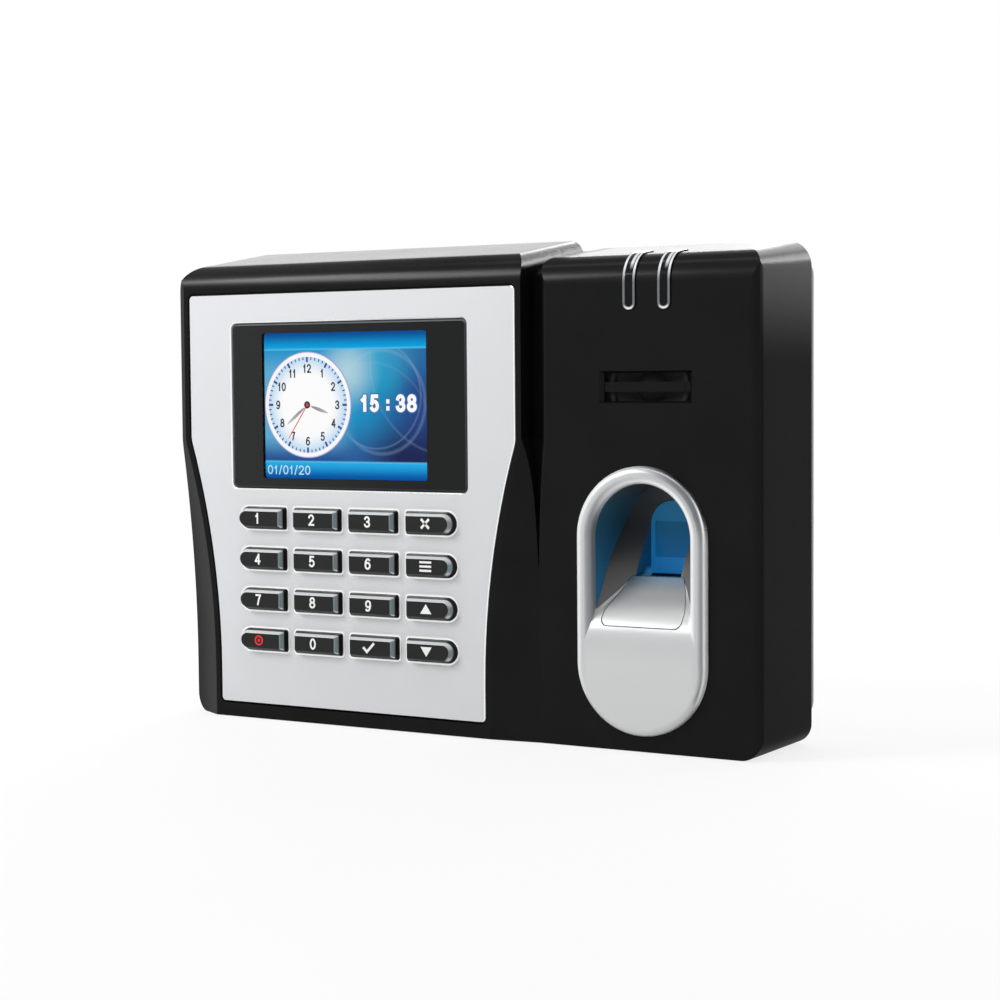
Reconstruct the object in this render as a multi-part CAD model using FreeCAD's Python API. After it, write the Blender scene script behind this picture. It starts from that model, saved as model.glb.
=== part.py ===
import FreeCAD, Part
import math
import os

# Fingerprint scanner terminal, millimetres.
#
# +X to the right as seen from the front, +Y from the front to the wall, +Z up.  The terminal stands on its flat
# bottom at Z = 0.  While it is modelled, Y = 0 is the front face of the control panel; each piece is moved when it
# is saved, so that the finished part's origin is the centre of its bottom.

V = FreeCAD.Vector

# ---- driving dimensions -------------------------------------------------------------------------------------

# the two blocks of the housing
display_block_width = 121.05
groove_width = 5.1
scanner_block_width = 66.15
display_block_height = 141.5        # at its back edge
scanner_block_drop = 2.5            # the scanner block is lower than the display block by this much
shell_depth = 36.5                  # from the panel face to the back edge of the black moulding
scanner_set_back = 1.8              # the scanner block's face lies this far behind the panel face
wall = 2.2
top_slope_display = 0.162           # rise of the top faces per millimetre of depth
top_slope_scanner = 0.130
top_round = 8.0                     # front edge of the top
display_corner_round = 7.0
groove_corner_round = 4.0           # top edge of the display block along the groove
scanner_corner_round = 7.5          # at the back; it tightens towards the front
scanner_corner_front_round = 4.5
scanner_groove_round = 2.0
bottom_corner_round = 5.5
side_edge_round = 2.5               # front vertical edge of the scanner block

# the groove between the blocks
groove_depth = 7.0
groove_drop = 3.1                   # the groove's floor lies this far below the display block's top, at the back
groove_slope = 0.235
groove_flare = 2.0
groove_runout_length = 36.0         # the groove tapers out over this length below the waist
crease_offset = 0.7                 # the crease under the groove, left of the scanner block's edge

# control panel
panel_top_width = 114.7
panel_low_width = 93.8
panel_bottom = 4.4
panel_top_margin = 13.9             # from the panel's top to the top of the display block's back edge
panel_thickness = 1.6
panel_gap = 0.35
panel_corner = 1.5
panel_bevel = 0.3                   # round its outer edge, its window and its key holes
rim = 2.0                           # black frame round the panel
flank_slope = 0.57                  # depth gained per millimetre outwards on the left flank
waist_sweep = 232.0                 # long hollow curve of the waist
waist_round = 8.0                   # short round above it
waist_bottom = 15.0                 # the long curve ends upright at this height

# display
window_width = 83.2
window_height = 49.5
window_drop = 33.5                  # from the panel's top down to the window's centre
window_corner = 1.8
lens_set_back = 0.45
fit_gap = 0.2
lcd_offset = -1.8                   # the screen sits left of the window's centre
lcd_width = 69.2
lcd_height = 50.2
lcd_active_width = 57.6
lcd_active_height = 43.2
lcd_web = 0.6                       # wall left in front of the display frame
lcd_thickness = 3.2
lcd_glass_thickness = 0.9

# keypad
key_columns = 4
key_rows = 4
key_pitch_x = 19.86
key_pitch_z = 12.2
key_hole_width = 17.5
key_hole_height = 7.05
key_block_offset = -0.3             # the key block lies a little left of the panel's centre
key_row_drop = 33.5                 # from the window's centre down to the top row of keys
key_corner = 0.9
key_gap = 0.25
key_proud = 2.6
key_taper = 1.35                    # the sloping sides of a cap
key_flange = 0.8
key_flange_thickness = 1.0
key_travel = 1.2
stem_radius = 1.6
mat_thickness = 1.0
collar_wall = 0.8

# boards and screws
board_thickness = 1.6
front_board_reach_left = 48.0       # from the middle of the keys
front_board_reach_right = 45.5
front_board_bottom = 9.0
front_board_rise = 29.0             # above the window's centre
main_board_reach_left = 32.0        # from the panel's centre
main_board_reach_right = 48.0
main_board_lift = 8.0               # above the bottom wall
main_board_height = 83.8
coin_offset_x = 16.0                # from the main board's lower left corner
coin_offset_z = 60.0
coin_radius = 10.0
shield_offset_x = 44.0
shield_offset_z = 40.0
shield_width = 26.0
shield_height = 24.0
board_gap = 0.3                     # loose fit round boards and modules
boss_radius = 3.2
boss_gap = 0.1
screw_radius = 1.25
screw_length = 4.6
screw_head_radius = 2.4
screw_head_height = 1.7
thread_gap = 0.03                   # between a screw and the hole it bites into
hole_gap = 0.25                     # round a screw where it passes freely

# indicator light guides
guide_pitch = 10.5
guide_width = 4.0
guide_drop = 19.2                   # from the scanner block's top down to the low end of the guides
guide_back = 12.6                   # how far back over the top they reach, from the panel face
guide_proud = 0.35
guide_centre_offset = 33.1          # from the scanner block's left side

# speaker slot and speaker
slot_width = 28.0
slot_height = 8.7
slot_offset = 0.3                   # the slot sits just above the middle between the bezel and the guides
slot_centre_offset = 32.5
slot_chamfer = 1.1
bar_width = 22.6
bar_height = 2.7
bar_set_back = 1.2
speaker_radius = 14.0
speaker_depth = 4.6

# scanner bezel, finger well and sensor
bezel_centre_offset = 31.5
bezel_width = 39.2
bezel_bottom = 4.4
bezel_height = 73.4
bezel_ring = 4.75
bezel_proud = 2.5
bezel_round = 2.1                   # outer edge of the ring
bezel_inner_round = 2.0
bezel_plate = 4.6                   # thickness of the oval plate
bezel_land = 1.6                    # the plate overlaps the edge of its opening by this much
guide_tube_wall = 1.5
well_depth = 24.0
ramp_top_half_width = 7.7
ramp_rise = 11.0                    # from the crest to the top of the ramp
pad_half_width = 12.0
pad_drop = 1.7                      # the pad reaches this far below the crest
pad_thickness = 1.2
pad_gap = 0.25                      # the dark parting line round the pad
guide_seam = 0.12                   # between the finger guide and the ramp
sensor_hole_half_width = 6.9
sensor_hole_height = 20.6           # from the top of the ramp
sensor_hole_drop = 5.45             # from the well's top down to the hole
sensor_face = 20.5                  # depth of the lit glass behind the panel face
sensor_frame_lip = 0.8
sensor_window_half_width = 5.7
sensor_glass_lip = 0.45             # the glass is wider than its window by this much on each side
sensor_side_gap = 0.15              # between the frame and the hole in the finger guide
sensor_window_height = 10.0
sensor_window_drop = 5.9            # from the hole's top down to the window
sensor_glass_thickness = 1.2
prism_depth = 6.5
prism_thin = 1.5                    # its depth at the upper end

# back cover and wall plate
cover_step = 3.2                    # the pale cover stands this far behind the black shell
cover_side_inset = 0.5
cover_bottom_inset = 6.5
cover_top_inset = 7.0
cover_corner = 5.0
cover_lip = 2.2
plate_width = 120.0
plate_bottom = 14.0
plate_top_margin = 19.5             # from the plate's top to the top of the terminal's back edge
plate_thickness = 1.5
plate_corner = 4.0
plate_gap = 0.6
plate_recess = 5.2                  # depth of the cover's recess for the plate and its screw heads
lift_off = 4.9                      # the terminal is lifted by this much to free it from the plate's hooks
wall_hole_spacing_x = 90.0
wall_hole_spacing_z = 76.0
wall_hole_radius = 2.25
hook_spacing = 60.0
hook_width = 12.0
hook_reach = 4.0

# ---- values that follow ---------------------------------------------------------------------------------------

case_width = display_block_width + groove_width + scanner_block_width
left_x = -case_width / 2
right_x = case_width / 2
groove_left = left_x + display_block_width
groove_right = groove_left + groove_width
crease_x = groove_right - crease_offset
scanner_block_height = display_block_height - scanner_block_drop
groove_back_height = display_block_height - groove_drop
panel_x = groove_left - rim - panel_top_width / 2
panel_top = display_block_height - panel_top_margin
window_centre_z = panel_top - window_drop
key_top_row_z = window_centre_z - key_row_drop
guide_low_z = scanner_block_height - guide_drop
waist_depth = (panel_top_width - panel_low_width) / 2
waist_rise = math.sqrt(2 * (waist_sweep + waist_round) * waist_depth - waist_depth ** 2)
waist_top = waist_bottom + waist_rise
flank_depth = flank_slope * (panel_x - panel_low_width / 2 - rim - left_x + 3.0)
wall_back = panel_thickness + wall          # inner face of the wall behind the panel
case_top = max(display_block_height, scanner_block_height)
cover_back = shell_depth + cover_step
scanner_wall_back = scanner_set_back + wall

lcd_x = panel_x + lcd_offset
lcd_front = panel_thickness + lcd_web
lcd_back = lcd_front + lcd_thickness

key_block_x = panel_x + key_block_offset
key_centres_x = [key_block_x + (i - (key_columns - 1) / 2) * key_pitch_x for i in range(key_columns)]
key_centres_z = [key_top_row_z - j * key_pitch_z for j in range(key_rows)]
flange_front = wall_back + fit_gap
flange_back = flange_front + key_flange_thickness
collar_front = flange_back + key_travel + board_gap
stem_back = collar_front + 1.0
front_board_front = stem_back + key_travel + 0.1
mat_front = front_board_front - mat_thickness
front_board_back = front_board_front + board_thickness

guide_centre = groove_right + guide_centre_offset
guide_centres = [guide_centre - guide_pitch / 2, guide_centre + guide_pitch / 2]
slot_x = groove_right + slot_centre_offset
bezel_x = groove_right + bezel_centre_offset
bezel_front = scanner_set_back - bezel_proud
bezel_back = bezel_front + bezel_plate
bezel_top = bezel_bottom + bezel_height
slot_centre_z = (bezel_top + guide_low_z) / 2 + slot_offset
well_half_width = bezel_width / 2 - bezel_ring
well_top = bezel_top - bezel_ring
sensor_hole_top_z = well_top - sensor_hole_drop
sensor_window_top_z = sensor_hole_top_z - sensor_window_drop
sensor_window_low_z = sensor_window_top_z - sensor_window_height
ramp_top_z = sensor_hole_top_z - sensor_hole_height
crest_z = ramp_top_z - ramp_rise
pad_bottom_z = crest_z - pad_drop

plate_top = case_top - plate_top_margin
plate_centre_z = (plate_bottom + plate_top) / 2
plate_height = plate_top - plate_bottom
recess_floor = cover_back - plate_recess
main_board_back = recess_floor - wall - 1.6
main_board_front = main_board_back - board_thickness

middle_y = (cover_back - key_proud) / 2     # half-way between the key faces and the back


# ---- small tools ------------------------------------------------------------------------------------------------

def save(name, shape):
    """Moves the piece to the part's origin, writes it and says what it is."""
    moved = shape.removeSplitter().translated(V(0, -middle_y, 0))
    moved.exportStep("parts/%s.step" % name)
    box = moved.BoundBox
    print("%-20s solids %2d valid %s x %.1f..%.1f y %.1f..%.1f z %.1f..%.1f" % (
        name, len(moved.Solids), moved.isValid(), box.XMin, box.XMax, box.YMin, box.YMax, box.ZMin, box.ZMax))


def block(x0, x1, y0, y1, z0, z1):
    return Part.makeBox(x1 - x0, y1 - y0, z1 - z0, V(x0, y0, z0))


def rod(x, z, radius, y0, y1):
    return Part.makeCylinder(radius, y1 - y0, V(x, y0, z), V(0, 1, 0))


def tube(x, z, outer, inner, y0, y1):
    return rod(x, z, outer, y0, y1).cut(rod(x, z, inner, y0 - 1, y1 + 1))


def fuse(shapes):
    return shapes[0].fuse(shapes[1:]) if len(shapes) > 1 else shapes[0]


def rounded_wire(x0, x1, z0, z1, y, radii):
    """Rectangle in the plane Y = y; radii run top left, top right, bottom right, bottom left."""
    tl, tr, br, bl = radii
    k = 1 - math.sqrt(0.5)
    edges = []

    def line(a, b):
        if math.hypot(a[0] - b[0], a[1] - b[1]) > 1e-6:
            edges.append(Part.LineSegment(V(a[0], y, a[1]), V(b[0], y, b[1])).toShape())

    def corner(a, middle, b, radius):
        if radius > 0:
            edges.append(Part.Arc(V(a[0], y, a[1]), V(middle[0], y, middle[1]), V(b[0], y, b[1])).toShape())

    line((x0 + tl, z1), (x1 - tr, z1))
    corner((x1 - tr, z1), (x1 - k * tr, z1 - k * tr), (x1, z1 - tr), tr)
    line((x1, z1 - tr), (x1, z0 + br))
    corner((x1, z0 + br), (x1 - k * br, z0 + k * br), (x1 - br, z0), br)
    line((x1 - br, z0), (x0 + bl, z0))
    corner((x0 + bl, z0), (x0 + k * bl, z0 + k * bl), (x0, z0 + bl), bl)
    line((x0, z0 + bl), (x0, z1 - tl))
    corner((x0, z1 - tl), (x0 + k * tl, z1 - k * tl), (x0 + tl, z1), tl)
    return Part.Wire(edges)


def rounded_block(x0, x1, z0, z1, y0, y1, radii):
    return Part.Face(rounded_wire(x0, x1, z0, z1, y0, radii)).extrude(V(0, y1 - y0, 0))


def slab(x, z, width, height, y0, y1, radius=0.0):
    """Plate centred on (x, z), with the same radius at each corner."""
    r = min(radius, width / 2 - 1e-4, height / 2 - 1e-4)
    return rounded_block(x - width / 2, x + width / 2, z - height / 2, z + height / 2, y0, y1, (r, r, r, r))


def oval(x, half_width, z0, z1, y0, y1):
    return slab(x, (z0 + z1) / 2, 2 * half_width, z1 - z0, y0, y1, half_width)


def side_prism(x0, x1, front, back, low, high, slope, radius, inset=0.0):
    """Side profile of a block carried along X: upright front, rounded top front edge, top rising to the back."""
    tilt = math.atan(slope)
    r = max(radius - inset, 0.5)
    face_y = front + inset
    top_back = high - inset / math.cos(tilt)
    arc_y = face_y + r
    arc_z = top_back - slope * (back - arc_y) - r / math.cos(tilt)
    middle = (math.pi + math.pi / 2 + tilt) / 2
    start = V(x0, face_y, arc_z)
    halfway = V(x0, arc_y + r * math.cos(middle), arc_z + r * math.sin(middle))
    end = V(x0, arc_y - r * math.sin(tilt), arc_z + r * math.cos(tilt))
    low_front = V(x0, face_y, low + inset)
    low_back = V(x0, back, low + inset)
    top = V(x0, back, top_back)
    wire = Part.Wire([
        Part.LineSegment(low_front, start).toShape(),
        Part.Arc(start, halfway, end).toShape(),
        Part.LineSegment(end, top).toShape(),
        Part.LineSegment(top, low_back).toShape(),
        Part.LineSegment(low_back, low_front).toShape(),
    ])
    return Part.Face(wire).extrude(V(x1 - x0, 0, 0))


def plan_prism(x0, x1, y0, y1, z0, z1, left_round, right_round):
    """Plan outline with its two front corners rounded, carried upwards."""
    k = 1 - math.sqrt(0.5)
    a, b = left_round, right_round
    edges = [
        Part.LineSegment(V(x0, y1, z0), V(x0, y0 + a, z0)).toShape(),
        Part.Arc(V(x0, y0 + a, z0), V(x0 + k * a, y0 + k * a, z0), V(x0 + a, y0, z0)).toShape(),
        Part.LineSegment(V(x0 + a, y0, z0), V(x1 - b, y0, z0)).toShape(),
        Part.Arc(V(x1 - b, y0, z0), V(x1 - k * b, y0 + k * b, z0), V(x1, y0 + b, z0)).toShape(),
        Part.LineSegment(V(x1, y0 + b, z0), V(x1, y1, z0)).toShape(),
        Part.LineSegment(V(x1, y1, z0), V(x0, y1, z0)).toShape(),
    ]
    return Part.Face(Part.Wire(edges)).extrude(V(0, 0, z1 - z0))


# ---- the waisted outline ----------------------------------------------------------------------------------------

def waist_marks(side, grow):
    """Points down one edge of the waisted outline, grown outwards: the ends and middles of its two arcs."""
    small = waist_round + grow
    large = waist_sweep - grow
    small_centre = (panel_top_width / 2 - waist_round, waist_top)
    large_centre = (panel_low_width / 2 + waist_sweep, waist_bottom)
    turn = math.atan2(small_centre[1] - large_centre[1], large_centre[0] - small_centre[0])

    def on(centre, radius, angle):
        return (panel_x + side * (centre[0] + radius * math.cos(angle)), centre[1] + radius * math.sin(angle))

    return [
        on(small_centre, small, 0.0),
        on(small_centre, small, -turn / 2),
        on(small_centre, small, -turn),
        on(large_centre, large, math.pi - turn / 2),
        on(large_centre, large, math.pi),
    ]


def waist_edges(side, grow, y, top, bottom):
    """The outline's edge from top to bottom: straight, short round, long hollow, straight."""
    a, ab, b, bc, c = [V(x, y, z) for x, z in waist_marks(side, grow)]
    return [
        Part.LineSegment(V(a.x, y, top), a).toShape(),
        Part.Arc(a, ab, b).toShape(),
        Part.Arc(b, bc, c).toShape(),
        Part.LineSegment(c, V(c.x, y, bottom)).toShape(),
    ]


def half_wire(edges, x, y, top, bottom):
    """Closes one edge of the outline against the upright line at x."""
    first = edges[0].Vertexes[0].Point
    last = edges[-1].Vertexes[-1].Point
    return Part.Wire(
        [Part.LineSegment(V(x, y, top), first).toShape()] + edges
        + [Part.LineSegment(last, V(x, y, bottom)).toShape(), Part.LineSegment(V(x, y, bottom), V(x, y, top)).toShape()])


def waisted_prism(grow, y0, y1, radius):
    """The panel's outline, grown, as a plate with rounded corners."""
    top = panel_top + grow
    bottom = panel_bottom - grow
    right = waist_edges(1, grow, y0, top, bottom)
    left = waist_edges(-1, grow, y0, top, bottom)
    edges = right + left
    edges.append(Part.LineSegment(right[0].Vertexes[0].Point, left[0].Vertexes[0].Point).toShape())
    edges.append(Part.LineSegment(right[-1].Vertexes[-1].Point, left[-1].Vertexes[-1].Point).toShape())
    solid = Part.Face(Part.Wire(Part.__sortEdges__(edges))).extrude(V(0, y1 - y0, 0))
    corners = [e for e in solid.Edges
               if abs(e.BoundBox.YLength - (y1 - y0)) < 1e-6 and e.BoundBox.ZLength < 1e-6
               and (abs(e.BoundBox.ZMin - top) < 1e-6 or abs(e.BoundBox.ZMin - bottom) < 1e-6)]
    return solid.makeFillet(radius, corners)


def waist_body(shift):
    """Everything behind the rim face and the two flanks of the display block, moved back by shift."""
    top = case_top + 20.0
    bottom = -20.0
    grown = flank_depth / flank_slope
    left = Part.makeLoft([
        half_wire(waist_edges(-1, rim, 0, top, bottom), panel_x, 0, top, bottom),
        half_wire(waist_edges(-1, rim + grown, flank_depth, top, bottom), panel_x, flank_depth, top, bottom),
    ], True, True)
    marks = waist_marks(1, rim)
    heights = [top, marks[0][1], marks[2][1], marks[4][1], bottom]
    upright = [Part.LineSegment(V(crease_x, scanner_set_back, a), V(crease_x, scanner_set_back, b)).toShape()
               for a, b in zip(heights, heights[1:])]
    right = Part.makeLoft([
        half_wire(waist_edges(1, rim, 0, top, bottom), panel_x, 0, top, bottom),
        half_wire(upright, panel_x, scanner_set_back, top, bottom),
    ], True, True)
    far = shell_depth + 10.0
    behind = fuse([block(panel_x, crease_x, scanner_set_back, far, bottom, top),
                   block(left_x - 10, panel_x, flank_depth, far, bottom, top)])
    body = fuse([left, right, behind])
    body.translate(V(0, shift, 0))
    return body


# ---- finger well -------------------------------------------------------------------------------------------------

def well_sections():
    """Height, depth at the side walls, half width of the flat, depth of the flat, from the crest upwards."""
    face = bezel_front
    ramp_back = 11.2
    rise = ramp_top_z - crest_z
    return [
        (crest_z - 7.5, face - 0.02, 15.2, face - 0.02),
        (crest_z - 4.6, face + 0.12, 15.0, face + 0.12),
        (crest_z - 1.4, face + 0.95, 14.6, face + 0.95),
        (crest_z + 0.20 * rise, face + 2.9, 13.2, face + 3.6),
        (ramp_top_z, 7.9, ramp_top_half_width, ramp_back),
        (ramp_top_z + 8.0, 14.2, 7.2, 16.2),
        (ramp_top_z + 15.0, 20.4, 6.9, sensor_face),
        (ramp_top_z + 22.0, 21.6, 6.7, sensor_face + 0.7),
        (well_top + 4.0, 22.3, 6.5, sensor_face + 1.0),
    ]


def finger_space(shift=0.0):
    """The space a finger takes: from before the bezel back to the ramp, the cheeks and the hood."""
    front = bezel_front - 8.0
    half = well_half_width + 1.0
    wires = []
    for z, wall_y, flat_half, flat_y in well_sections():
        points = [(-half, front), (-half, wall_y), (-flat_half, flat_y), (flat_half, flat_y), (half, wall_y),
                  (half, front)]
        points = [V(bezel_x + x, y + (shift if y > front else 0.0), z) for x, y in points]
        wires.append(Part.makePolygon(points + points[:1]))
    return Part.makeLoft(wires, True, False)


def ring_rounding():
    """What the rounded inner edge of the ring takes away; it fades with the well's depth towards the crest."""
    r = bezel_inner_round
    path = well_half_width + r
    deep = bezel_front + r
    low = crest_z - 16.0
    arc_z = well_top - well_half_width
    space = well_prism(r, bezel_front - 1, deep, low).cut(well_prism(0.0, bezel_front - 2, deep + 1, low - 1))
    rolls = [Part.makeCylinder(r, arc_z - low + 1, V(bezel_x + side * path, deep, low - 1)) for side in (-1, 1)]
    ring = Part.makeTorus(path, r, V(bezel_x, deep, arc_z), V(0, 1, 0))
    rolls.append(ring.common(block(bezel_x - path - r - 1, bezel_x + path + r + 1, deep - r - 1, deep + r + 1, arc_z,
                                   well_top + 3 * r)))
    for roll in rolls:
        space = space.cut(roll)
    half = path + 1.0
    front = bezel_front - 2.0
    wires = []
    for z, wall_y, flat_half, flat_y in well_sections():
        points = [V(bezel_x + x, y, z) for x, y in ((-half, front), (-half, wall_y), (half, wall_y), (half, front))]
        wires.append(Part.makePolygon(points + points[:1]))
    return space.common(Part.makeLoft(wires, True, False))


def well_prism(grow, y0, y1, bottom):
    """The well's oval, squared off at the bottom."""
    r = well_half_width + grow
    return rounded_block(bezel_x - r, bezel_x + r, bottom, well_top + grow, y0, y1, (r, r, 0, 0))


def ramp_prism(grow, y0, y1):
    """The silver ramp's outline seen from the front: full width below the crest, narrowing to the sensor."""
    half = well_half_width + 1.0
    low = crest_z - 20.0
    flare_z = crest_z + 0.5
    top_half = ramp_top_half_width + grow
    points = [(-half, low), (half, low), (half, flare_z + grow), (top_half, ramp_top_z + grow),
              (-top_half, ramp_top_z + grow), (-half, flare_z + grow)]
    points = [V(bezel_x + x, y0, z) for x, z in points]
    return Part.Face(Part.makePolygon(points + points[:1])).extrude(V(0, y1 - y0, 0))


def pad_prism(grow, y0, y1):
    r = 2.0
    half = pad_half_width + grow
    taper_z = crest_z + 2.2
    top_half = ramp_top_half_width - 0.8 + grow
    top_z = ramp_top_z + 2.0
    body = rounded_block(bezel_x - half, bezel_x + half, pad_bottom_z - grow, taper_z, y0, y1, (0, 0, r, r))
    points = [(-half, taper_z), (half, taper_z), (top_half, top_z), (-top_half, top_z)]
    points = [V(bezel_x + x, y0, z) for x, z in points]
    return body.fuse(Part.Face(Part.makePolygon(points + points[:1])).extrude(V(0, y1 - y0, 0)))


def sensor_hole(grow, y0, y1):
    half = sensor_hole_half_width + grow
    return rounded_block(bezel_x - half, bezel_x + half, ramp_top_z - grow, sensor_hole_top_z + grow, y0, y1,
                         (half, half, 0, 0))


# ---- shared places -------------------------------------------------------------------------------------------------

case_boss_inset = 9.0
case_boss_low = 12.5
case_boss_high = case_top - 19.2
case_bosses = [
    (left_x + case_boss_inset, case_boss_low),
    (left_x + case_boss_inset, case_boss_high),
    (groove_left - wall - 6.0, case_boss_high + 7.0),
    (right_x - case_boss_inset, case_boss_low),
    (right_x - case_boss_inset, case_boss_high),
]
case_boss_radius = 3.6
case_boss_back = shell_depth - cover_lip
case_pad_radius = 5.0
case_seat = case_boss_back + 2.8        # where the screw heads rest in the cover
case_screw_radius = 1.5
case_head_radius = 3.0
case_head_height = 1.8
case_screw_length = 12.0

front_board_left = key_block_x - front_board_reach_left
front_board_right = key_block_x + front_board_reach_right
front_board_top = window_centre_z + front_board_rise
board_boss_marks = [
    (front_board_left + 4.0, front_board_bottom + 4.0),
    (front_board_right - 4.0, front_board_bottom + 4.0),
    (front_board_left + 4.0, front_board_top - 3.5),
    (front_board_right - 4.0, front_board_top - 3.5),
]

main_board_left = panel_x - main_board_reach_left
main_board_right = panel_x + main_board_reach_right
main_board_bottom = wall + main_board_lift
main_board_top = main_board_bottom + main_board_height
main_board_marks = [
    (main_board_left + 4.0, main_board_bottom + 16.0),
    (main_board_right - 4.0, main_board_bottom + 16.0),
    (main_board_left + 4.0, main_board_top - 4.0),
    (main_board_right - 4.0, main_board_top - 4.0),
]

# sockets stand on the main board's front and open downwards through the bottom wall
socket_floor = wall + board_gap
network_x = main_board_left + 18.0
network_size = (16.0, 13.4, 21.0)       # width, depth, height
network_mouth = (11.8, 8.2, 14.0)
usb_x = main_board_left + 42.0
usb_size = (13.2, 5.8, 14.0)
power_x = main_board_left + 62.0
power_size = (9.0, 11.0, 14.0)
power_bore = 3.2

# the screw that locks the terminal to the wall plate comes up through the bottom
lock_x = 30.0
lock_y = 29.0
lock_boss_radius = 4.5
lock_boss_top = 4.6
lock_seat = 2.4
lock_radius = 1.5
lock_head_radius = 2.75
lock_length = 14.0

sensor_body_half = 11.5
sensor_body_bottom = ramp_top_z - 4.0
sensor_body_top = well_top - 1.0
sensor_glass_front = sensor_face + sensor_frame_lip
sensor_glass_back = sensor_glass_front + sensor_glass_thickness
sensor_prism_back = sensor_glass_back + prism_depth
sensor_body_back = sensor_prism_back + 1.5
sensor_ear_z = (sensor_body_bottom + sensor_body_top) / 2
sensor_ear_offset = well_half_width + guide_tube_wall + 5.4
sensor_ears = [(bezel_x - sensor_ear_offset, sensor_ear_z), (bezel_x + sensor_ear_offset, sensor_ear_z)]
sensor_ear_thickness = 2.0
ribbon_z = sensor_body_top - 6.05
guide_front = scanner_set_back + 0.9
neck_back = bezel_back + 1.2
ramp_back = 13.5
coin_place = (main_board_left + coin_offset_x, main_board_bottom + coin_offset_z)
shield_place = (main_board_left + shield_offset_x, main_board_bottom + shield_offset_z)
camera_z = sensor_window_top_z - 3.4
camera_radius = 3.0
sensor_board_thickness = 1.2

indicator_board_front = scanner_wall_back + 7.0
indicator_board_z = guide_low_z + 5.0
indicator_board_height = 9.0
indicator_board_width = guide_pitch + 9.0
indicator_posts = [(guide_centre, indicator_board_z)]
indicator_post_radius = 2.5

speaker_front = scanner_wall_back + 1.2
speaker_ring_wall = 1.2
speaker_back = speaker_front + speaker_depth


# ---- front housing ---------------------------------------------------------------------------------------------------

def groove_runout():
    """The groove below the waist: a wedge that narrows and rises to the crease."""
    def section(z, left, floor, right, flare):
        face = scanner_set_back
        far = face - 6.0
        k = flare * (1 - math.sqrt(0.5))
        points = [V(left, far, z), V(left, floor, z), V(right, floor, z), V(right, face + flare, z)]
        edges = [Part.LineSegment(a, b).toShape() for a, b in zip(points, points[1:])]
        edges.append(Part.Arc(points[-1], V(right + k, face + k, z), V(right + flare, face, z)).toShape())
        edges.append(Part.LineSegment(V(right + flare, face, z), V(right + flare, far, z)).toShape())
        edges.append(Part.LineSegment(V(right + flare, far, z), points[0]).toShape())
        return Part.Wire(edges)

    depth = groove_depth - scanner_set_back
    width = crease_x - groove_left
    top = section(waist_top, groove_left, groove_depth, groove_right, groove_flare)
    upper = section(waist_top - 0.28 * groove_runout_length, crease_x - 0.48 * width,
                    scanner_set_back + 0.62 * depth, crease_x + 0.6 * crease_offset, 0.55 * groove_flare)
    lower = section(waist_top - 0.66 * groove_runout_length, crease_x - 0.18 * width,
                    scanner_set_back + 0.25 * depth, crease_x + 0.2 * crease_offset, 0.2 * groove_flare)
    tip = section(waist_top - groove_runout_length, crease_x - 0.03 * width,
                  scanner_set_back + 0.03 * depth, crease_x + 0.03 * crease_offset, 0.02 * groove_flare)
    return Part.makeLoft([top, upper, lower, tip], True, False)


def top_rounding(x0, x1, height, slope, inset, front_radii, back_radii):
    """Limits a block to its rounded top edges, which follow the slope of the top."""
    y0, y1 = -1.0, shell_depth + 1.0
    drop = inset * math.sqrt(1 + slope ** 2)
    wires = []
    for y, radii in ((y0, front_radii), (y1, back_radii)):
        top = height - slope * (shell_depth - y) - drop
        wires.append(rounded_wire(x0 + inset, x1 - inset, -5.0, top, y, [max(r - inset, 0) for r in radii]))
    return Part.makeLoft(wires, True, True)


def bottom_rounding(x0, x1, inset, right_radius, left_radius):
    return rounded_block(x0 + inset, x1 - inset, inset, case_top + 10.0, -1.0, shell_depth + 1.0,
                         (0, 0, max(right_radius - inset, 0), max(left_radius - inset, 0)))


def housing_outer():
    display = side_prism(left_x, groove_left, 0, shell_depth, 0, display_block_height, top_slope_display, top_round)
    display = display.common(bottom_rounding(left_x, groove_left, 0, 0, bottom_corner_round))
    corners = (display_corner_round, groove_corner_round, 0, 0)
    display = display.common(top_rounding(left_x, groove_left, display_block_height, top_slope_display, 0,
                                          corners, corners))
    infill = block(groove_left - 5.0, crease_x, 0, shell_depth, 0, waist_top)
    display = display.fuse(infill).common(waist_body(0.0))

    scanner = side_prism(groove_right, right_x, scanner_set_back, shell_depth, 0, scanner_block_height,
                         top_slope_scanner, top_round)
    scanner = scanner.common(bottom_rounding(groove_right, right_x, 0, bottom_corner_round, 0))
    scanner = scanner.common(top_rounding(groove_right, right_x, scanner_block_height, top_slope_scanner, 0,
                                          (scanner_groove_round, scanner_corner_front_round, 0, 0),
                                          (scanner_groove_round, scanner_corner_round, 0, 0)))
    scanner = scanner.common(plan_prism(groove_right, right_x, scanner_set_back, shell_depth + 1, -1, case_top + 1,
                                        groove_flare, side_edge_round))

    bridge = side_prism(groove_left - 3.0, groove_right + 3.0, groove_depth, shell_depth, 0, groove_back_height,
                        groove_slope, 3.0)
    join = block(crease_x, groove_right + groove_flare + 1.0, scanner_set_back, shell_depth, 0, waist_top)
    return fuse([display, scanner, bridge, join]).cut(groove_runout())


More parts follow.
